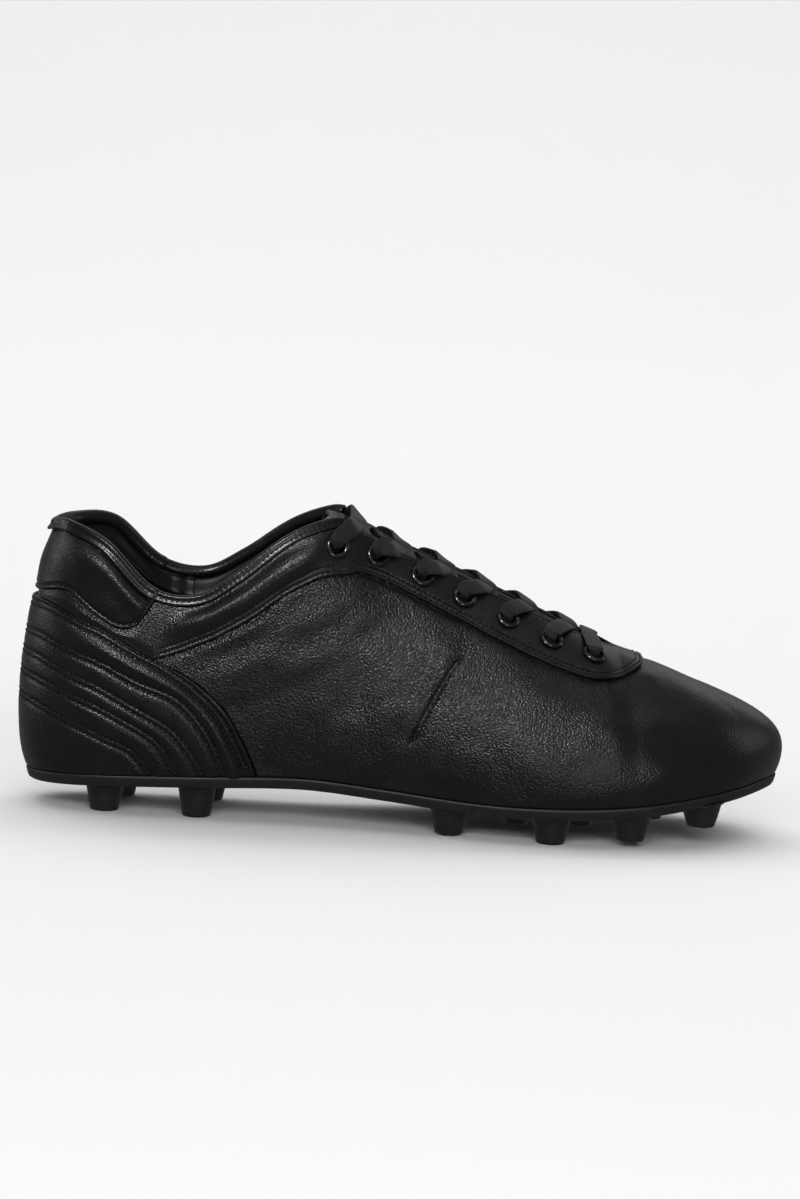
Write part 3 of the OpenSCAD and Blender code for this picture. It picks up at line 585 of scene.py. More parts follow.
def leather_material(name, grain, roughness, base, cell=1350):
    """Full-grain leather: pebbles, finer pores between them, slow changes of colour and gloss."""
    material, tree, shader = new_material(name, base, roughness, specular=0.24, sheen=0.0)
    vector = place_coordinates(tree)
    pebbles = node(tree, "ShaderNodeTexVoronoi", feature="SMOOTH_F1", Scale=cell, Smoothness=0.4,
                   Vector=vector)
    creases = node(tree, "ShaderNodeTexVoronoi", feature="DISTANCE_TO_EDGE", Scale=cell * 0.55,
                   Vector=vector)
    crease_height = ranged(tree, creases.outputs["Distance"], 0, 0.15, 0, 1)
    pores = noise_node(tree, vector, 3600, 2)
    slow = noise_node(tree, vector, 60, 4)
    patches = noise_node(tree, vector, 150, 3)
    tinted(tree, shader, ranged(tree, slow, 0.3, 0.7, 0, 1), base, 0.8, 1.3)
    tree.links.new(ranged(tree, patches, 0.3, 0.7, roughness - 0.04, roughness + 0.04),
                   shader.inputs["Roughness"])
    inverted = ranged(tree, pebbles.outputs["Distance"], 0, 0.8, 1, 0)
    where = node(tree, "ShaderNodeSeparateXYZ", Vector=vector)
    towards_toe = ranged(tree, where.outputs["X"], 0.04, 0.1, 1, 0.35)
    bumps(tree, shader, [(patches, 0.06 * grain, 0.0006), (crease_height, 0.1 * grain, 0.00006),
                         (inverted, towards_toe, 0.0003 * grain), (pores, 0.3 * grain, 0.00005)])
    return material


def thread_material():
    black = (0.003, 0.0029, 0.003)
    material, tree, shader = new_material("thread_black", black, 0.45, specular=0.25)
    twist = node(tree, "ShaderNodeTexWave", Scale=1500, Distortion=2, Vector=place_coordinates(tree))
    bumps(tree, shader, [(twist.outputs["Fac"], 0.4, 0.0001)])
    return material


def cloth_material(name, base, roughness, scale, strength, sheen=0.3, specular=0.4):
    """Woven or knitted cloth by two crossed waves, with slow colour changes."""
    material, tree, shader = new_material(name, base, roughness, specular, sheen=sheen)
    vector = place_coordinates(tree)
    heights = [node(tree, "ShaderNodeTexWave", Scale=scale, Distortion=0.6, Detail=1, Vector=vector,
                    bands_direction=direction).outputs["Fac"] for direction in ("X", "Z")]
    slow = noise_node(tree, vector, 90, 3)
    tinted(tree, shader, slow, base, 0.75, 1.3)
    weave = combined(tree, "MULTIPLY", heights)
    bumps(tree, shader, [(slow, 0.3, 0.0005), (weave, strength, 0.00012)])
    return material


def plastic_material(name, base, roughness):
    """Moulded plastic with a fine spark-eroded texture and faint scuffs."""
    material, tree, shader = new_material(name, base, roughness, specular=0.3)
    vector = place_coordinates(tree)
    fine = noise_node(tree, vector, 2600, 2)
    scuffs = noise_node(tree, place_coordinates(tree, (1, 1, 5)), 120, 5, 0.7)
    tree.links.new(ranged(tree, scuffs, 0.35, 0.7, roughness - 0.06, roughness + 0.1),
                   shader.inputs["Roughness"])
    tinted(tree, shader, ranged(tree, scuffs, 0.4, 0.75, 0, 1), base, 1, 1.5)
    bumps(tree, shader, [(fine, 0.25, 0.00008)])
    return material


def lace_material():
    """Flat woven lace: a herringbone of fine cords along the weave coordinates, with painted shade in the
    hollows between the cords.
    """
    material, tree, shader = new_material("lace_woven_cotton", (0.0045, 0.0044, 0.0045), 0.62,
                                          specular=0.22, sheen=0.08)
    weave_uv = node(tree, "ShaderNodeUVMap", uv_map="weave").outputs["UV"]
    heights = []
    for turn in (0.9, -0.9):
        turned = node(tree, "ShaderNodeMapping", Vector=weave_uv, Rotation=(0, 0, turn))
        wave = node(tree, "ShaderNodeTexWave", Scale=0.55, Distortion=0.4, Vector=turned.outputs["Vector"])
        heights.append(wave.outputs["Fac"])
    weave = combined(tree, "MAXIMUM", heights)
    fuzz = noise_node(tree, place_coordinates(tree), 1800, 3)
    # Painted shade: the colour follows the weave's height, lighter on the cords and darker in the hollows
    # between them.
    mixed = colour_mix(tree, weave, (0.003, 0.003, 0.003), (0.0075, 0.0073, 0.0075))
    tree.links.new(mixed, shader.inputs["Base Color"])
    bumps(tree, shader, [(weave, 0.8, 0.00018), (fuzz, 0.3, 0.0001)])
    return material


def uneven_material(name, base, roughness, scale, strength, distance, stretch=(1, 1, 1), **looks):
    """A hard, smooth surface with slight unevenness."""
    material, tree, shader = new_material(name, base, roughness, **looks)
    uneven = noise_node(tree, place_coordinates(tree, stretch), scale)
    bumps(tree, shader, [(uneven, strength, distance)])
    return material


GRAINED = leather_material("leather_grained", 0.7, 0.3, (0.0055, 0.0052, 0.0057))
SMOOTH_LEATHER = leather_material("leather_smooth", 0.34, 0.31, (0.005, 0.0048, 0.0052), 1500)
FOLDED_LEATHER = leather_material("leather_folded", 0.08, 0.26, (0.0055, 0.0055, 0.0057), 1700)
TONGUE_LEATHER_FINISH = leather_material("leather_tongue", 0.6, 0.42, (0.008, 0.0078, 0.0082))
THREAD = thread_material()
LINING_CLOTH = cloth_material("lining_satin", (0.003, 0.0028, 0.003), 0.36, 900, 0.2, 0.0, 0.16)
LINING_KNIT = cloth_material("lining_knit", (0.008, 0.0078, 0.008), 0.7, 600, 0.6, 0.1, 0.3)
FOOTBED_CLOTH = cloth_material("footbed_cloth", (0.02, 0.019, 0.02), 0.75, 500, 0.7)
BACKING_CLOTH = cloth_material("backing_canvas", (0.02, 0.02, 0.021), 0.8, 500, 0.8)
FOAM = cloth_material("foam_open_cell", (0.12, 0.12, 0.125), 0.9, 350, 0.9, 0.1, 0.2)
PLATE_PLASTIC = plastic_material("sole_plate_plastic", (0.0075, 0.0075, 0.0078), 0.5)
STUD_PLASTIC = plastic_material("stud_plastic", (0.0075, 0.0073, 0.0075), 0.46)
BOARD = plastic_material("fibre_board", (0.42, 0.33, 0.2), 0.85)
FILLER = plastic_material("cork_filler", (0.25, 0.17, 0.1), 0.9)
STIFF_FELT = plastic_material("stiffener_felt", (0.5, 0.47, 0.4), 0.9)
STEEL = uneven_material("shank_steel", (0.5, 0.5, 0.52), 0.35, 400, 0.2, 0.0001, (1, 12, 1),
                        metallic=1)
ENAMEL = uneven_material("eyelet_enamel", (0.003, 0.003, 0.0033), 0.2, 700, 0.06, 0.0002,
                         specular=0.45, coat=0.2, coat_roughness=0.1)
AGLET = uneven_material("aglet_film", (0.03, 0.03, 0.032), 0.25, 900, 0.2, 0.0001, coat=0.5)


def dress(obj, material, slot, *nodes, body="shoe"):
    """Gives a piece its material and rides it on its body in place of CAD nodes. Its slot is not used."""
    obj.data.materials.clear()
    obj.data.materials.append(material)
    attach(obj, body)
    if nodes:
        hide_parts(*nodes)
    return obj


def sew(name, lines, slot, *sizes):
    """Stitches along lines; the sizes are pitch, length and radius."""
    dress(stitches(name, lines, *sizes), THREAD, slot)


for name, material in (("shank", STEEL), ("bottom_filler", FILLER), ("insole_board", BOARD),
                       ("toe_puff", STIFF_FELT), ("heel_counter", STIFF_FELT)):
    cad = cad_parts[name]
    cad.data.materials.clear()
    cad.data.materials.append(material)

# ---------------------------------------------------------------- lace and its route
LACE_W, LACE_T = 6.8, 1.2
LACE_IN, LACE_UNDER, LACE_OUT, LACE_OVER = -2.9, -3.65, 2.6, 3.3
HOLE_W, HOLE_T = 3.5, 1.7
# How far the lace stands over the throat where strands cross: the upper strand of a pair, the
# lower one, and how much less at the top pair
CROSSING_UPPER, CROSSING_LOWER, CROSSING_TOP_DROP = 2.0, 0.6, 1.2
LAST_EYELET = len(EYELET_A) - 1


def eyelet_frame(side, i):
    """Middle, outward normal and direction towards the throat of one eyelet."""
    a = EYELET_A[i]
    share = read(EYELET_ACROSS, a)
    t = mix(stay_t(a), edge_t(a), share)
    p, n = surface(side * a, t)
    rise = surface(side * a, t + 0.01)[0] - surface(side * a, t - 0.01)[0]
    return p, n, unit(rise - n * (rise @ n))


def lace_at(eyelet, up, towards, w, t):
    """A point of the route beside an eyelet: its place, its flat side's normal, width, thickness."""
    return [eyelet[0] + eyelet[1] * up + eyelet[2] * towards, eyelet[1], w, t]


def through(eyelet):
    """Points of the route down through the eyelet's hole, where the lace is bunched."""
    return [[eyelet[0] + eyelet[1] * d + eyelet[2] * 0.6, eyelet[2], HOLE_W, HOLE_T]
            for d in (LACE_OUT - 0.4, 1.2, -1, LACE_IN)]


def strand(side, i):
    """From one eyelet under the facing, over the throat and into the next eyelet across."""
    start, end = eyelet_frame(side, i), eyelet_frame(-side, i - 1)
    a0, a1 = EYELET_A[i], EYELET_A[i - 1]
    leave, arrive = mix(a0, a1, 0.25), mix(a0, a1, 0.66)
    edge_in = off(side * leave, 1, LACE_UNDER + 0.3) + [0, 1.3 * side, 0]
    edge_out = off(-side * arrive, 0.985, LACE_OVER - 0.7)
    middle = top_line(mix(a0, a1, 0.5))
    slope = unit(top_line(a0 + 0.01) - top_line(a1 - 0.01))
    facing = np.array([-slope[2], 0, slope[0]])
    stand = (CROSSING_UPPER if side > 0 else CROSSING_LOWER) - (CROSSING_TOP_DROP if i == 1 else 0)
    crossing = np.array([middle[0], 0, middle[2]]) + facing * stand
    n0, n1 = surface(side * leave, 0.99)[1], surface(-side * arrive, 0.99)[1]
    return [lace_at(start, LACE_UNDER, 3.4, LACE_W * 0.8, LACE_T),
            [edge_in, n0, LACE_W, LACE_T],
            [mix(edge_in, crossing, 0.55), unit(n0 + 1.5 * facing), LACE_W, LACE_T],
            [crossing, facing, LACE_W, LACE_T],
            [edge_out, n1, LACE_W, LACE_T],
            lace_at(end, LACE_OVER, 2.6, LACE_W * 0.92, LACE_T), *through(end)]


def tail_end(side):
    """The end of the lace, tucked down inside the quarter."""
    places = ((0.452, 0.86), (0.456, 0.8), (0.46, 0.72), (0.464, 0.64), (0.468, 0.56))
    return [[off(side * a, t, LACE_UNDER - 0.4), surface(side * a, t)[1], LACE_W * 0.8, LACE_T]
            for a, t in places]


def half_lace(side):
    route = through(eyelet_frame(side, LAST_EYELET))
    for k in range(LAST_EYELET):
        route += strand(side if k % 2 == 0 else -side, LAST_EYELET - k)
    return route + tail_end(side)


def lace_route():
    under_bar = top_line(EYELET_A[LAST_EYELET])
    bar = [np.array([under_bar[0], 0, under_bar[2] + 2.6]), unit(np.array([0.4, 0, 1])), LACE_W, LACE_T]
    ends = [lace_at(eyelet_frame(side, LAST_EYELET), LACE_OVER, 2.4, LACE_W * 0.95, LACE_T)
            for side in SIDES]
    return half_lace(1)[::-1] + [ends[0], bar, ends[1]] + half_lace(-1)


def carried(u, p, q):
    """Turns u the way a direction turns from p to q."""
    v = np.cross(p, q)
    return u * (p @ q) + np.cross(v, u) + v * ((v @ u) / (1 + p @ q))


def make_lace():
    """Sweeps the flat lace along its route and gives back its length in millimetres."""
    route = lace_route()
    p = np.array([r[0] for r in route])
    last = len(p) - 1
    along = unit(np.array([p[min(last, i + 1)] - p[max(0, i - 1)] for i in range(last + 1)]))
    thin = np.array([r[1] for r in route])
    thin = unit(thin - along * (along * thin).sum(1, keepdims=True))
    for i in range(1, last + 1):
        if carried(thin[i - 1], along[i - 1], along[i]) @ thin[i] < 0:
            thin[i] = -thin[i]
    key = running(np.sqrt(step_lengths(p, 0)))
    knots = np.concatenate([key[:, None], p, thin, np.array([r[2:] for r in route])], 1)
    made = curve(knots, np.linspace(0, key[-1], 2400))
    c, n, w, h = made[:, :3], made[:, 3:6], made[:, 6], made[:, 7]
    length = running(step_lengths(c, 0))
    d = unit(np.gradient(c, axis=0))
    side = unit(np.cross(d, n))
    up = np.cross(side, d)
    angle = ring_angles(20)
    cx = np.sign(np.cos(angle)) * abs(np.cos(angle)) ** 0.5
    cy = np.sign(np.sin(angle)) * abs(np.sin(angle)) ** 0.75
    rings = (c[:, None] + side[:, None] * (w[:, None, None] / 2 * cx[None, :, None])
             + up[:, None] * (h[:, None, None] / 2 * cy[None, :, None]))
    uv = np.stack(np.broadcast_arrays(length[:, None], cx[None] * w[:, None] / 2), -1)
    dress(tubes("lace_woven", [rings], uv.reshape(-1, 2)), lace_material(), "lace", "lace")
    return length[-1]


lace_length = make_lace()


# ---------------------------------------------------------------- leather panels
def wrinkles(p, a, t):
    """Soft unevenness of stretched leather, with flex creases at the forefoot and the ankle."""
    b = abs(a)
    slow = 0.42 * noise(p, 17, 3) + 0.2 * noise(p, 7.5, 4)
    lean, across = p[..., 0] * 0.86 + p[..., 2] * 0.5, p[..., 2] * 0.86 - p[..., 0] * 0.5
    fold = noise(np.stack([lean / 11, across / 27, p[..., 1] / 40], -1), 1, 6)
    forefoot = band(b, 0.5, 0.58, 0.73, 0.8) * band(t, 0.05, 0.25, 0.85, 1)
    lean, across = p[..., 2] * 0.9 - p[..., 0] * 0.43, p[..., 0] * 0.9 + p[..., 2] * 0.43
    ankle_fold = noise(np.stack([lean / 7, across / 26, p[..., 1] / 40], -1), 1, 7)
    ankle = band(b, 0.22, 0.3, 0.46, 0.54) * smooth(0.2, 0.45, t)
    calm = 1 - 0.8 * smooth(0.78, 0.88, b)
    return 1.15 * calm * slow + 0.28 * forefoot * fold + 0.85 * ankle * ankle_fold


def leather_piece(name, a, t, height, base=0.0, wrinkled=1.0, joined=""):
    """A panel over a grid of places: height is its relief. Its borders are rounded, except those
    where it runs on into the next panel without a step."""
    p, n = surface(a, t)
    free = border_distance(p, "".join(k for k in "lrbt" if k not in joined))
    drop = rolled(free, LEATHER / 2)
    top = base + height + wrinkled * wrinkles(p, a, t) * smooth(0, 5, free) - drop
    sharp = None
    if joined:
        sharp = np.zeros(a.shape, bool)
        sharp[0] |= "l" in joined
        sharp[-1] |= "r" in joined
    return shell(name, p, n, top, base - LEATHER + drop, sharp=sharp)


def groove(d, depth, width):
    return -depth * bell(d, width)


def nearest(p, seams):
    """Distance from each grid point to the nearest of some seams, on either side."""
    return np.min([distance_to(p, line_on_upper(seam, side, 300)[0])
                   for seam in seams for side in SIDES], axis=0)


# Heel panel: five curved double rows with padding between them
HEEL_PANEL_END, TAB_END = 0.318, 0.197


def make_heel_panel():
    a = HEEL_PANEL_END * mix(-1, 1, shares(300, 190))[:, None]
    top = np.maximum(0.012, heel_t(a) - 0.0025)
    t = shares(96, 62)[None] * top
    a = np.broadcast_to(a, t.shape)
    p, _ = surface(a, t)
    upper_row = [[k[0] - 0.009 * smooth(0.17, 0.25, k[0]), k[1] - 0.024] for k in HEEL_SEAM[1:-1]]
    seams = QUILT_LINES + [upper_row + [[0.31, 0.004]]]
    relief = nearest(p, seams)
    puff = 1 - bell(np.maximum(relief - 0.9, 0), 1.5)
    forward = smooth(0.03, 0.2, abs(a))
    top_band = (smooth(0, 0.01, t - read(QUILT_LINES[0], abs(a)))
                * (1 - smooth(-0.03, -0.015, t - heel_t(a))) * smooth(0.05, 0.16, abs(a)))
    height = (puff * mix(0.2, 0.55, forward) + 1.3 * top_band * (1 - bell(relief, 4))
              + groove(relief - 1.0, 0.55, 0.42) - 0.1)
    panel = leather_piece("heel_panel_quilted", a, t, height, base=0.1, wrinkled=0.35)
    dress(panel, SMOOTH_LEATHER, "leather_smooth", "heel_panel")
    rows = [beside(line_on_upper(seam, side, 300), shift, -0.08)
            for side in SIDES for seam in seams for shift in SIDES]
    sew("heel_panel_stitching", rows, "leather_smooth", 2.3, 1.75, 0.28)


# Tab: the padded collar panel over the heel
def make_heel_collar():
    a = TAB_END * mix(-1, 1, shares(200, 130))[:, None]
    t = mix(tab_t(a) + 0.002, COLLAR_TOP + 0.012, shares(46, 28)[None])
    a = np.broadcast_to(a, t.shape)
    p, _ = surface(a, t)
    d = border_distance(p, "bt")
    forward = smooth(0.04, 0.12, abs(a))
    below_binding = border_distance(p, "t")
    ridge = bell(below_binding - 7, 4.5) * smooth(0, 4, below_binding)
    puff = mix(0.6, 1.2, forward) * (1 - bell(d, 5)) + 1.5 * forward * ridge
    seam = [[k[0], k[1] + 0.02] for k in TAB_SEAM[:-2]]
    sewn = np.concatenate([line_on_upper(seam, side, 200)[0] for side in SIDES])
    height = puff + groove(distance_to(p, sewn), 0.5, 0.5) - 0.2
    tab = leather_piece("heel_collar_padded", a, t, height, base=0.1, wrinkled=0.6)
    dress(tab, SMOOTH_LEATHER, "leather_smooth", "heel_collar")
    rows = [beside(line_on_upper(seam[1:], side, 200), 0, 0.1) for side in SIDES]
    sew("heel_collar_stitching", rows, "leather_smooth", 2.2, 1.6, 0.22)


# Quarters: the grained side panels. From the ankle forward they lap under the eyestay.
STAY_LAP = 0.03


def make_quarter(side, name):
    c = shares(190, 100)[:, None]
    share = shares(100, 70)[None]
    front = SPLIT_HIGH
    for _ in range(2):
        guess = mix(JOIN_A, front, c)
        top = stay_t(guess) - 0.002 + STAY_LAP * smooth(0.35, 0.365, guess)
        front = split_a(top)
    t = share * top
    heel_edge = np.array(HEEL_SEAM[:5:-1])
    rear = np.where(t > heel_edge[-1, 1], JOIN_A, np.interp(t, heel_edge[:, 1], heel_edge[:, 0])) + 0.001
    a = mix(rear, split_a(t), c)
    p, _ = surface(side * a, t)
    seam = distance_to(p, line_on_upper(STAY_SEAM, side, 300, 0.2, 0.6)[0])
    under_stay = smooth(-0.004, 0.003, t - stay_t(a)) * band(a, 0.345, 0.355, 0.37, STAY_START)
    height = pleat_groove(p, t, side) + groove(seam, 0.6, 1.8) - 1.1 * under_stay
    panel = leather_piece(name + "_leather", (side * a)[::side], t[::side], height[::side],
                          joined="r" if side > 0 else "l")
    dress(panel, GRAINED, "leather", name)


def pleat_a(t):
    return PLEAT_FOOT + PLEAT_LEAN * np.asarray(t, float)


def pleat_groove(p, t, side):
    """Hollow of the sewn pleat, close to where the quarter runs on into the vamp."""
    sewn = band(t, 0.21, 0.25, 0.6, 0.64)
    d = distance_to(p, pleat_line(side, 0.1, 0.72)[0])
    return (groove(d, 0.5, 2.4) + groove(d, 0.7, 0.6)) * sewn


def pleat_line(side, low=PLEAT_FROM, high=PLEAT_TO):
    t = np.linspace(low, high, 120)
    return surface(side * pleat_a(t), t)


# Vamp: columns run from one quarter round the toe to the other, rows from the sole to the eyestay
def toe_places(cols, rows):
    c = np.concatenate([[-1], -1 + EDGE_STEPS[1:] / 190, np.linspace(-0.992, 0.992, cols),
                        1 - EDGE_STEPS[:0:-1] / 190, [1]])[:, None]
    f = shares(rows, 75)[None]
    b = abs(c)
    side = np.where(c <= 0, 1, -1)
    a0 = mix(1, SPLIT_LOW, b)
    a1 = mix(STAY_FRONT, SPLIT_HIGH, b**0.8)
    t1 = np.where(b < 1e-6, 1, np.minimum(1, stay_t(a1) + 0.028))
    bend = 1 - np.minimum(1, 2.2 * b)
    bend = bend * bend * (3 - 2 * bend)
    turn = 0.72
    climb, slide = np.clip(f / turn, 0, 1), np.clip((f - turn) / (1 - turn), 0, 1)
    a = mix(mix(a0, a1, f), mix(a0, a1, slide), bend)
    t = mix(t1 * f, t1 * climb, bend)
    a = np.maximum(a, split_a(t))
    a[0], a[-1] = split_a(t[0]), split_a(t[-1])
    return side * a, np.broadcast_to(t, a.shape)


def make_vamp():
    a, t = toe_places(400, 96)
    p, _ = surface(a, t)
    height = np.zeros(t.shape)
    rows, tacks = [], []
    for side in SIDES:
        stay_edge = line_on_upper(STAY_SEAM, side, 300, 0.55, STAY_FRONT)[0]
        height += pleat_groove(p, t, side) + groove(distance_to(p, stay_edge), 0.3, 2.2)
        rows += [beside(pleat_line(side), shift, 0.05) for shift in (1.1, -1.1)]
        for end in (PLEAT_FROM - 0.005, PLEAT_TO + 0.005):
            heights = np.linspace(end - 0.012, end + 0.012, 12)
            short = surface(np.full(12, side * float(pleat_a(end))), heights)
            tacks += [beside(short, shift, 0.0) for shift in (-1.5, -0.9, -0.3, 0.3, 0.9, 1.5)]
    vamp = leather_piece("vamp_leather", a, t, height, joined="lr")
    dress(vamp, GRAINED, "leather", "vamp")
    sew("dart_stitching", rows, "leather", 1.9, 1.5, 0.34)
    sew("dart_bar_tacks", tacks, "leather", 2.4, 2.2, 0.22)


# Eyestay and collar: one strip from behind the ankle round the throat and back
def stay_high(a):
    return np.where(a < JOIN_A, tab_t(a) - 0.002, edge_t(a))


def stay_low(a):
    return np.where(a < JOIN_A, heel_t(a) + 0.001, stay_t(a))


# How far past the last eyelet the strip's columns start to turn round the front of the throat
STAY_TURN = 0.0137


def stay_places(start, front, first, cols, front_cols, rows):
    """Places of a strip from a = start on one side, round the front, to the other side. Its rows
    run from the share first of the way up the strip to its upper edge."""
    last = EYELET_A[LAST_EYELET] + STAY_TURN
    a_low = np.concatenate([start + EDGE_STEPS / 310, np.linspace(start, last, cols)[2:],
                            mix(last, front, np.linspace(0, 1, front_cols)[1:])])
    beyond = (a_low - last) / (front - last)
    a_high = np.where(a_low <= last, a_low, mix(last, THROAT_FRONT, beyond))
    v = mix(first, 1, shares(rows, 22))[None]
    t = mix(stay_low(a_low)[:, None], stay_high(a_high)[:, None], v)
    t[-1] = 1
    a = mix(a_low[:, None], a_high[:, None], v)
    return np.concatenate([a, -a[-2::-1]]), np.concatenate([t, t[-2::-1]])


EYELET_HOLE_R = 2.95
# Where the strip ends at the heel, and its rows of stitches by their distance from the lower edge
STAY_END = 0.034
STAY_ROWS = (1.3, 3.1)
EYELETS = [(side, i) for side in SIDES for i in range(len(EYELET_A))]


def holed_shell(name, a, t, top, low):
    """A sheet between two depths, with eyelet holes: grid cells that a hole touches are left out,
    and the points round them are moved onto its rim."""
    p, normals = surface(a, t)
    keep = np.ones((a.shape[0] - 1, a.shape[1] - 1), bool)
    target = p.copy()
    for side, i in EYELETS:
        middle, n, _ = eyelet_frame(side, i)
        gap = p - middle
        flat = gap - (gap @ n)[..., None] * n
        r = np.linalg.norm(flat, axis=-1)
        near = (r < 3 * EYELET_HOLE_R) & (np.linalg.norm(gap, axis=-1) < 12)
        inside = near & (r < EYELET_HOLE_R)
        cell = inside[:-1, :-1] | inside[1:, :-1] | inside[:-1, 1:] | inside[1:, 1:]
        keep &= ~cell
        corner = np.zeros(p.shape[:2], bool)
        for di, dj in np.ndindex(2, 2):
            corner[di:di + cell.shape[0], dj:dj + cell.shape[1]] |= cell
        rim = corner & ~inside & near
        target[rim] = p[rim] + flat[rim] * (EYELET_HOLE_R / r[rim] - 1)[:, None]
    return shell(name, target, normals, top, low, keep)


def make_eyestay():
    a, t = stay_places(STAY_END, STAY_FRONT, 0, 470, 46, 40)
    raised = smooth(0.37, STAY_START, abs(a))
    p, _ = surface(a, t)
    d_low, d_high = border_distance(p, "b"), border_distance(p, "t")
    d = np.minimum(d_low, d_high)
    collar = band(abs(a), 0.2, 0.26, 0.4, 0.46)
    puff = collar * (1.2 * (1 - bell(np.minimum(d_low, d_high * 1.3), 5))
                     + 1.4 * bell(d_low - 8.5, 3.8) * smooth(0, 4, d_high))
    wedge = (1 - smooth(0.17, 0.22, abs(a))) * 0.5 * smooth(0, 4, d)
    rows_groove = sum(groove(d_low - shift, 0.3, 0.45) for shift in STAY_ROWS)
    edge_groove = groove(d_high - 1.6, 0.22, 0.45) * smooth(0.46, 0.5, abs(a))
    around_eyelet = sum(groove(np.linalg.norm(p - eyelet_frame(side, i)[0], axis=-1), 0.25, 5.0)
                        for side, i in EYELETS)
    height = (puff + wedge + edge_groove + around_eyelet + rows_groove * smooth(0.19, 0.22, abs(a))
              + 0.25 * noise(p, 9, 21) * smooth(1, 5, d))
    base = mix(0.35, 1.35, raised)
    thickness = mix(LEATHER, STAY_LEATHER, raised)
    drop = rolled(border_distance(p), 0.4)
    h = base + height + 0.5 * wrinkles(p, a, t) * smooth(0, 5, d) * (1 - 0.7 * raised)
    stay = holed_shell("eyestay_collar_leather", a, t, h - drop, base - thickness + drop)
    dress(stay, SMOOTH_LEATHER, "leather_smooth", "eyestay_collar")

    rows, edge_rows = [], []
    low, high = 0.203, 0.829
    lift = mix(0.22, 1.22, smooth(0.37, STAY_START, np.linspace(low, high, 700)))[:, None]
    throat = np.linspace(0.475, 0.765, 400)
    for side in SIDES:
        seam = line_on_upper(STAY_SEAM, side, 700, low, high)
        for shift in STAY_ROWS:
            points, normals = beside(seam, side * shift, 0)
            rows.append((points + normals * lift, normals))
        edge_rows.append(beside(surface(side * throat, edge_t(throat) - 0.006), -side * 1.1, 1.25))
    sew("eyestay_stitching", rows, "leather_smooth", 2.15, 1.6, 0.27)
    sew("throat_stitching", edge_rows, "leather_smooth", 2.15, 1.6, 0.2)


def make_backing():
    a, t = stay_places(STAY_START, 0.79, 0.24, 150, 14, 16)
    drop = rolled(border_distance(surface(a, t)[0]), 0.55)
    backing = holed_shell("eyestay_backing_canvas", a, t, -0.1 - drop, drop - LEATHER)
    dress(backing, BACKING_CLOTH, "backing", "eyestay_backing")


make_heel_panel()
make_heel_collar()
make_quarter(1, "lateral_quarter")
make_quarter(-1, "medial_quarter")
make_vamp()
make_eyestay()
make_backing()


# ---------------------------------------------------------------- binding, lining, padding
BINDING_END, LINING_END = 0.457, 0.43
# Section of the folded strip round the collar's edge: outwards, upwards
BINDING_SECTION = [(0.5, -2.5), (0.95, -2.75), (1.3, -2.55), (1.38, -2.1), (1.2, -1.6), (1.02, -1.0),
                   (1.05, -0.5), (1.22, 0.1), (1.1, 0.75), (0.6, 1.2), (-0.2, 1.42), (-1.1, 1.45),
                   (-2.0, 1.2), (-2.8, 0.6), (-3.3, -0.3), (-3.5, -1.4), (-3.4, -2.2), (-2.9, -2.3),
                   (-2.5, -1.2), (-1.8, -0.2), (-0.8, 0.2), (0.1, -0.2), (0.3, -1.2)]


def make_binding():
    """Folded strip of leather over the collar's edge, gathered round the heel."""
    a = np.linspace(-BINDING_END, BINDING_END, 1100)
    top, n = surface(a, np.full(a.shape, 0.995))
    d = unit(np.gradient(top, axis=0))
    n = unit(n - d * (n * d).sum(1, keepdims=True))
    up = np.cross(n, d)
    run = running(step_lengths(top, 0))
    b = abs(a)
    gather = 0.02 + 0.16 * (1 - smooth(0.03, 0.06, b))
    ripple = gather * (np.sin(run * 2 * math.pi / 1.9) * 0.6 + noise(top, 2.3, 31))
    step = 0.3 * (1 - smooth(0.196, 0.199, b))
    middle = np.array([-1.1, -0.6])
    swell = (1 + (ripple + step) / 2.4)[:, None, None]
    section = middle + (np.array(BINDING_SECTION) - middle) * swell
    rings = top[:, None] + n[:, None] * section[..., :1] + up[:, None] * section[..., 1:]
    binding = tubes("collar_binding_folded", [rings[:, ::-1]])
    dress(binding, FOLDED_LEATHER, "binding", "collar_binding")
    row = (top + n * 1.12 + up * -1.25, n)
    sew("binding_stitching", [row], "binding", 2.1, 1.5, 0.2)


def lining_sheet(name, a, t, material, slot, *nodes):
    depth = lining_depth(a, t)
    dress(shell(name, *surface(a, t), -depth, -depth - LINING), material, slot, *nodes)


def make_quarter_lining():
    a = np.linspace(-LINING_END, LINING_END, 330)[:, None]
    high = mix(0.972, stay_t(a) + 0.02, smooth(0.385, 0.42, abs(a)))
    t = shares(90, 90)[None] * high
    a = np.broadcast_to(a, t.shape)
    p, n = surface(a, t)
    depth = lining_depth(a, t)
    sag = 0.35 * noise(p, 11, 41) * smooth(0.3, 0.5, t)
    drop = rolled(border_distance(p), LINING / 2)
    lining = shell("quarter_lining_satin", p, n, 0.25 * sag - depth - drop,
                   0.9 * sag - depth - LINING + drop)
    dress(lining, LINING_CLOTH, "lining", "quarter_lining")


def make_front_lining(side, name):
    c = shares(40, 45)[:, None]
    high = stay_t(mix(LINING_END, SPLIT_HIGH, c)) + 0.02
    t = np.linspace(0, 1, 50)[None] * high
    a = side * mix(LINING_END + 0.0005, split_a(t) - 0.002, c)
    lining_sheet(name, a[::side], t[::side], LINING_CLOTH, "lining")


def make_lining_tape(name, middle):
    """Tape over a seam of the lining, beside the ankle."""
    half = 0.016
    a = mix(middle - half, middle + half, shares(8, 10))[:, None]
    a, t = np.broadcast_arrays(a, mix(0.45, 0.965, shares(60, 60))[None])
    p, n = surface(a, t)
    depth = lining_depth(a, t) + LINING - 0.05
    fold = 0.25 * np.sin((a - middle) / half * math.pi * 1.5)
    drop = rolled(border_distance(p), 0.3)
    dress(shell(name, p, n, -depth, drop - depth - 0.8 - fold), LINING_CLOTH, "lining")


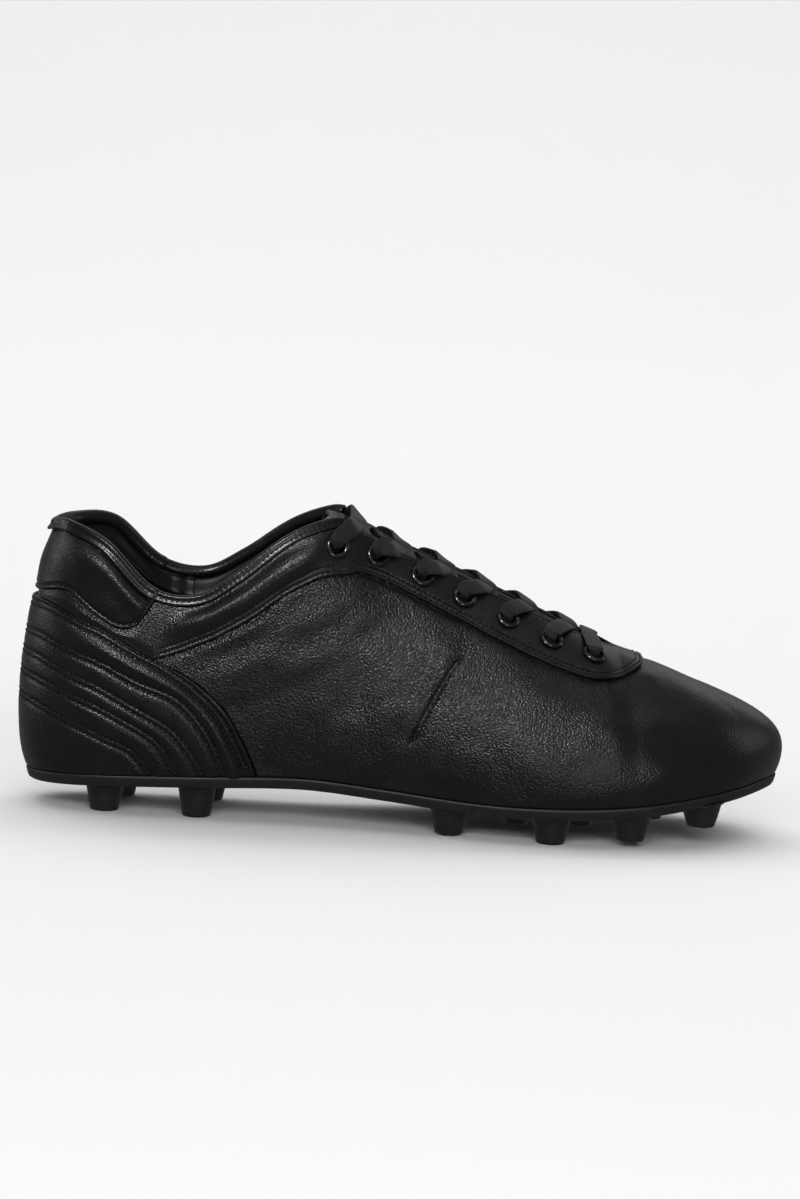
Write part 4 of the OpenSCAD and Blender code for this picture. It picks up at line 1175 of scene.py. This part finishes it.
def make_collar_padding():
    a, t = np.broadcast_arrays(np.linspace(-0.395, 0.395, 220)[:, None],
                               np.linspace(0.635, 0.94, 40)[None])
    depth = LEATHER + LAYER_GAP
    thickness = 0.1 + (COLLAR_FOAM - 0.25) * foam(a, t)
    pad = shell("collar_padding_foam", *surface(a, t), -depth, -depth - thickness)
    dress(pad, FOAM, "foam", "collar_padding")


make_binding()
make_quarter_lining()
make_front_lining(1, "front_lining_lateral")
make_front_lining(-1, "front_lining_medial")
lining_sheet("vamp_lining_cloth", *toe_places(150, 40), LINING_KNIT, "lining_cloth", "vamp_lining")
make_lining_tape("lining_tape_medial", -0.222)
make_lining_tape("lining_tape_lateral", 0.222)
make_collar_padding()

# ---------------------------------------------------------------- tongue
TONGUE_TOP, TONGUE_ROOT = 0.44, 0.8
TONGUE_SEAM_INSET = 3.6
# Where the tongue's side edges run: a, t
TONGUE_EDGE = [[0.42, 0.8], [0.44, 0.8], [0.52, 0.78], [0.64, 0.74], [0.8, 0.78]]


def tongue_rows(a, share):
    """Cross-sections of the tongue's face: down one facing, across the throat, down the other."""
    t0 = read(TONGUE_EDGE, a)
    te = 1 - 0.1 * smooth(0.72, 0.77, a)
    top = top_line(a)
    sag = mix(0.6, mix(6.4, TONGUE_DEPTH, smooth(0.5, 0.6, a)), smooth(0.446, 0.478, a))
    crown = np.stack([top[..., 0], np.zeros(a.shape), top[..., 2] - sag], -1)
    halfway = mix(t0, te, 0.5)
    beyond = 2 * t0 - halfway
    keys = [-0.2, 0, 0.2, 0.36, 0.5, 0.64, 0.8, 1, 1.2]
    lateral, medial = ([off(side * a, t, np.full(a.shape, -TONGUE_DEPTH))
                        for t in (beyond, t0, halfway, te)] for side in SIDES)
    points = np.array(lateral + [crown] + medial[::-1])
    return np.array([curve(np.column_stack([keys, points[:, i]]), share) for i in range(len(a))])


def hinged(obj, material, slot, *nodes):
    """Gives a piece of the tongue its material, bakes its placement into its mesh and hides the CAD nodes
    it replaces. Its slot is not used.
    """
    obj.data.materials.append(material)
    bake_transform(obj)
    if nodes:
        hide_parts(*nodes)


def make_tongue():
    a = mix(TONGUE_TOP, TONGUE_ROOT, shares(150, 112))
    share = shares(70, 60)
    p = tongue_rows(a, share)
    n = unit(np.cross(np.gradient(p, axis=0), np.gradient(p, axis=1)))
    d = border_distance(p)
    d_rear = border_distance(p, "lbt")
    full = 1 - bell(np.maximum(d_rear - 3.5, 0), 5)
    soft = 0.25 * noise(p, 8, 51)
    drop = rolled(d, 0.55)
    seam = groove(d_rear - TONGUE_SEAM_INSET, 0.5, 0.8)
    crown = 0.5 * full + seam + soft * full
    low = -1.5 - TONGUE_FOAM * full
    face = shell("tongue_face_leather", p, n, crown - drop, crown - 1.1 + drop)
    pad = shell("tongue_padding_foam", p, n, crown - 1.25, crown - 1.35 - TONGUE_FOAM * full)
    lining = shell("tongue_lining_satin", p, n, low - 0.2 * drop, low + drop - 0.9)
    hinged(face, TONGUE_LEATHER_FINISH, "tongue_leather", "tongue_face")
    hinged(pad, FOAM, "foam", "tongue_padding")
    hinged(lining, LINING_CLOTH, "lining", "tongue_lining")
    # Edge tape and a row of stitches round the padded part
    middle_row, middle_rib = 35, 75
    i0 = np.searchsorted(np.cumsum(step_lengths(p[:, middle_row], 0)), TONGUE_SEAM_INSET)
    j0 = np.searchsorted(np.cumsum(step_lengths(p[middle_rib], 0)), TONGUE_SEAM_INSET)
    row, row_n = (np.concatenate([g[::-1, j0][5:-i0], g[i0, j0:-j0], g[i0:, -j0][:-5]]) for g in (p, n))
    edge, edge_n = (np.concatenate([g[::-1, 0][2:-1], g[0], g[1:, -1][:-2]]) for g in (p, n))
    side = unit(np.cross(edge_n, unit(np.gradient(edge, axis=0))))
    angle = ring_angles(10)
    rings = (edge[:, None] - edge_n[:, None] * 1.2
             + side[:, None] * (1.3 * np.cos(angle))[None, :, None]
             + edge_n[:, None] * (1.7 * np.sin(angle))[None, :, None])
    sewn = stitches("tongue_stitching", [(row - row_n * 0.3, row_n)], 2.4, 1.8, 0.25)
    hinged(sewn, THREAD, "tongue_leather")
    hinged(tubes("tongue_edge_tape", [rings]), FOLDED_LEATHER, "binding")


make_tongue()

# ---------------------------------------------------------------- eyelets and aglets
# Section of a rolled eyelet: radius, height over the upper's surface
EYELET_PROFILE = [(2.15, -2.3), (3.5, -2.35), (3.6, -2.1), (3.5, -1.85), (2.75, -1.8), (2.7, 1.3),
                  (4.1, 1.35), (4.4, 1.55), (4.4, 2.0), (4.1, 2.45), (3.5, 2.65), (2.9, 2.5),
                  (2.45, 2.05), (2.25, 1.5), (2.18, 0.5)]


def make_eyelets(side, name):
    profile = np.array(EYELET_PROFILE)
    angle = ring_angles(48)[:, None]
    rings = []
    for i in range(len(EYELET_A)):
        middle, n, rise = eyelet_frame(side, i)
        rim = np.cos(angle) * rise + np.sin(angle) * np.cross(n, rise)
        rings.append(middle + rim[:, None] * profile[:, :1] + n * profile[:, 1:])
    index = np.arange(np.size(rings) // 3).reshape(np.shape(rings)[:-1])
    turned = np.roll(index, -1, axis=1)
    corners = [index, np.roll(index, -1, axis=2), np.roll(turned, -1, axis=2), turned]
    eyelets = make_object(name + "_enamelled", rings, [np.stack(corners, -1).reshape(-1, 4)])
    dress(eyelets, ENAMEL, "eyelet", name)


# Outline of an aglet: share of its length, radius
AGLET_PROFILE = [(0, 0.9), (0.02, 1.25), (0.1, 1.3), (0.9, 1.25), (0.98, 1.1), (1, 0.8)]


def make_aglets():
    sets = []
    for side in SIDES:
        start = off(side * 0.4685, 0.55, LACE_UNDER - 0.8)
        end = off(side * 0.474, 0.36, LACE_UNDER - 1.3)
        d = unit(end - start)
        u = unit(np.cross(d, [1, 0, 0]))
        v = np.cross(d, u)
        sets.append(np.array([[mix(start, end, f) + (u * math.cos(w) + v * math.sin(w)) * r
                               for w in ring_angles(16)] for f, r in AGLET_PROFILE]))
    dress(tubes("lace_aglets_film", sets), AGLET, "aglet", "lace_aglets")


make_eyelets(1, "lateral_eyelets")
make_eyelets(-1, "medial_eyelets")
make_aglets()

# ---------------------------------------------------------------- sole
PLATE_GAP = 0.1
# Section of the plate's edge: inset from the feather line, height over it
PLATE_SECTION = [(6, -0.1), (3, -0.1), (0.6, -0.1), (0.12, -0.25), (-0.1, -0.6), (-0.1, -1.3),
                 (0.05, -1.7), (0.25, -2.4), (0.6, -3.5), (0.95, -4.05), (1.5, -4.38), (2.4, -4.4),
                 (3.6, -4.3), (4.2, -4.05), (4.6, -3.95), (6, -3.95)]
# Studs: x, y, height of the tip
STUDS = {"forefoot_studs": [(20, -31, 0.8), (57, -37, 0), (86, -36, 2.6), (112, -26, 7.4),
                            (24, 26, 0.8), (57, 33, 0), (86, 36, 2.6), (112, 29, 7.4)],
         "heel_studs": [(-107, -17, 0), (-73, -20, 0), (-103, 16, 0), (-70, 17, 0)],
         "centre_studs": [(45, -4, 0.8), (69, 0, 0.8), (95, 3, 4.4)]}


def make_plate():
    """Moulded plate: a rounded edge all round, and ribs and raised pads on its underside."""
    count = 260
    a = np.concatenate([np.linspace(0, 1, count + 1), -np.linspace(1, 0, count + 1)[1:-1]])
    foot, n = plan(a), plan_normal(a)
    rings = []
    for inset, rise in PLATE_SECTION:
        rings.append(np.column_stack([foot - n * inset, sole_z(foot[:, 0]) + rise]))
    rings = np.array(rings)
    edge = rings.reshape(-1, 3)
    index = np.arange(len(edge)).reshape(rings.shape[:2])
    turned = np.roll(index, -1, axis=1)
    points = [edge]
    faces = [np.stack([index[:-1], index[1:], turned[1:], turned[:-1]], -1).reshape(-1, 4)]
    total = len(edge)
    f = np.linspace(0, 1, 49)[None, 1:-1, None]
    for ring, is_under in ((0, False), (-1, True)):
        loop = np.append(index[ring], index[ring, 0])
        lateral, medial = loop[:count + 1], loop[:count - 1:-1]
        p = mix(edge[lateral][:, None], edge[medial][:, None], f)[1:-1]
        p[..., 2] = sole_z(p[..., 0]) + PLATE_SECTION[ring][1]
        if is_under:
            p[..., 2] -= underside(p)
        inner = np.arange(p[..., 0].size).reshape(p.shape[:2]) + total
        table = np.concatenate([lateral[1:-1, None], inner, medial[1:-1, None]], 1)
        quads = np.stack([table[:-1, :-1], table[1:, :-1], table[1:, 1:], table[:-1, 1:]], -1)
        first = np.append(lateral[0], table[0])[None, ::-1]
        final = np.append(table[-1], lateral[-1])[None]
        turn = -1 if is_under else 1
        faces += [part[:, ::turn] for part in (quads.reshape(-1, 4), first, final)]
        points.append(p.reshape(-1, 3))
        total += len(points[-1])
    plate = make_object("outsole_plate_moulded", np.concatenate(points), faces)
    dress(plate, PLATE_PLASTIC, "sole_plastic", "outsole_plate")


def underside(p):
    """How far the plate's underside stands down: waist ribs, a centre bar and pads round studs."""
    x, y = p[..., 0], p[..., 1]
    down = 0.9 * band(x, -62, -50, 0, 12) * sum(bell(y - rib, 1.3) for rib in (-9, 0, 9))
    for group, studs in STUDS.items():
        reach = 10.2 if group != "centre_studs" else 7.6
        for sx, sy, _ in studs:
            d = np.hypot(x - sx, y - sy)
            down = np.maximum(down, 0.55 * (1 - smooth(reach - 0.8, reach, d)))
    flex_lines = sum(bell(x - line, 0.9) for line in (34, 71.5, 99))
    return down - 0.35 * band(x, 5, 15, 118, 126) * flex_lines


def make_studs(name, root_r, tip_r):
    """Tapered studs with a rounded tip, flared where they meet the plate."""
    angle = ring_angles(56)
    sets = []
    for x, y, tip in STUDS[name]:
        under = float(sole_z(x)) - PLATE_GAP - PLATE_T
        h = under - tip
        slope = (float(sole_z(x + 5)) - float(sole_z(x - 5))) / 10
        grow = root_r - tip_r
        profile = [(tip_r * 0.55, tip + 0.22), (tip_r * 0.8, tip + 0.08), (tip_r - 0.75, tip),
                   (tip_r - 0.3, tip + 0.12), (tip_r - 0.05, tip + 0.4), (tip_r + 0.08, tip + 0.9),
                   (tip_r + grow * 0.5, tip + h * 0.5), (tip_r + grow * 0.86, under - 1.6),
                   (tip_r + grow * 0.97, under - 0.8), (root_r + 0.35, under - 0.3),
                   (root_r + 1.1, under + 0.1), (root_r + 1.6, under + 0.6)]
        r, z = (column[:, None] for column in np.array(profile).T)
        lean = smooth(0.4 * h, h, z - tip) * slope * r * np.cos(angle)
        sets.append(np.stack([x + r * np.cos(angle), y + r * np.sin(angle), z + lean], -1))
    dress(tubes(name + "_moulded", sets), STUD_PLASTIC, "stud_plastic", name)


def make_footbed():
    """Sock over the insole board: cupped at the heel, with a sewn edge."""
    a = mix(0.02, 0.985, shares(150, 260))[:, None]
    f = shares(44, 60)[None]
    inset = 4.6
    lateral, medial = (plan(side * a) - plan_normal(side * a) * inset for side in SIDES)
    xy = mix(lateral, medial, f[..., None])
    x = xy[..., 0]
    cup = 2.2 * (2 * abs(f - 0.5)) ** 4 * (1 - smooth(-30, 20, x))
    arch = 2.0 * smooth(0.55, 1, f) * band(x, -70, -40, 0, 35)
    low = sole_z(x) + 2.95
    p = np.concatenate([xy, low[..., None]], -1)
    height = 3.4 + 5 * (f - 0.5) ** 2 + cup + arch - rolled(border_distance(p), 0.9)
    bed = shell("footbed_cloth_covered", p, np.array([0, 0, 1]), height, 0)
    dress(bed, FOOTBED_CLOTH, "footbed_cloth", "footbed")


make_plate()
make_studs("forefoot_studs", 7.2, 5.2)
make_studs("heel_studs", 7.2, 5.2)
make_studs("centre_studs", 5, 4.1)
make_footbed()


# ---------------------------------------------------------------- floor and light
FLOOR_FRONT, BACKDROP_START, BACKDROP_BEND, BACKDROP_TOP, STAGE_HALF_WIDTH = -2600, 2150, 700, 3000, 3600


def stage_material():
    material, tree, shader = new_material("studio_white", (0.86, 0.86, 0.86), 0.8, specular=0.0)
    slow = noise_node(tree, place_coordinates(tree), 2.0)
    tree.links.new(colour_mix(tree, slow, (0.855, 0.855, 0.855), (0.865, 0.865, 0.865)),
                   shader.inputs["Base Color"])
    return material


def make_stage():
    """A pale floor that curves up into a backdrop."""
    profile = [(FLOOR_FRONT, 0)]
    for w in np.linspace(0, math.pi / 2, 17):
        profile.append((BACKDROP_START + BACKDROP_BEND * math.sin(w), BACKDROP_BEND * (1 - math.cos(w))))
    profile.append((BACKDROP_START + BACKDROP_BEND, BACKDROP_TOP))
    points = np.array([[[x, y, z] for y, z in profile] for x in (-STAGE_HALF_WIDTH, STAGE_HALF_WIDTH)])
    index = np.arange(2 * len(profile)).reshape(2, -1)
    quads = np.stack([index[0, :-1], index[1, :-1], index[1, 1:], index[0, 1:]], -1)
    stage = make_object("studio_stage", points, [quads])
    stage.data.materials.append(stage_material())
    stage.visible_glossy = False


def area_light(name, place, target, size, size_y, power, rays="all"):
    """A softbox. Its rays light everything, or only show as a highlight, or give no highlight."""
    data = bpy.data.lights.new(name, "AREA")
    data.shape, data.size, data.size_y, data.energy = "RECTANGLE", size, size_y, power
    light = bpy.data.objects.new(name, data)
    light.location = place
    light.rotation_mode = "QUATERNION"
    light.rotation_quaternion = (Vector(target) - Vector(place)).to_track_quat("-Z", "Y")
    light.visible_diffuse = rays != "highlight"
    light.visible_glossy = rays != "fill"
    light.visible_camera = False
    bpy.context.scene.collection.objects.link(light)


make_stage()
area_light("overhead_softbox", (0.0, 0.1, 1.6), (0, 0, 0), 1.9, 1.4, 10.5, "fill")
area_light("overhead_strip", (0.0, -0.15, 1.5), (0, 0, 0), 1.2, 0.3, 2.4, "highlight")
area_light("left_strip", (-1.15, 0.25, 0.45), (0, 0, 0.06), 0.35, 0.9, 3, "highlight")
area_light("right_strip", (1.15, 0.25, 0.5), (0, 0, 0.06), 0.3, 0.7, 1.1, "highlight")
area_light("back_panel", (0, 1.2, 0.75), (0, 0, 0.05), 2.2, 0.7, 2.4, "highlight")
area_light("key_softbox", (-0.35, -0.9, 0.9), (-0.03, 0, 0.06), 0.22, 0.16, 13, "highlight")
area_light("low_front_softbox", (0.3, -1.45, 0.14), (0, 0, 0.05), 0.3, 0.16, 3.5, "highlight")
area_light("front_fill", (0.0, -1.7, 0.8), (0, 0, 0.05), 1.6, 0.6, 19, "fill")
area_light("front_sheen", (0.0, -1.7, 1.1), (0, -0.2, 0), 1.2, 0.5, 4, "highlight")
area_light("backdrop_wash", (0, 1.9, 2.4), (0, 2.3, 0.3), 4.4, 2.4, 60, "fill")
world = bpy.data.worlds.new("studio")
world.use_nodes = True
background = world.node_tree.nodes["Background"]
background.inputs["Color"].default_value = (1, 1, 1, 1)
background.inputs["Strength"].default_value = 0.2
bpy.context.scene.world = world
bpy.context.scene.view_settings.view_transform = "Standard"
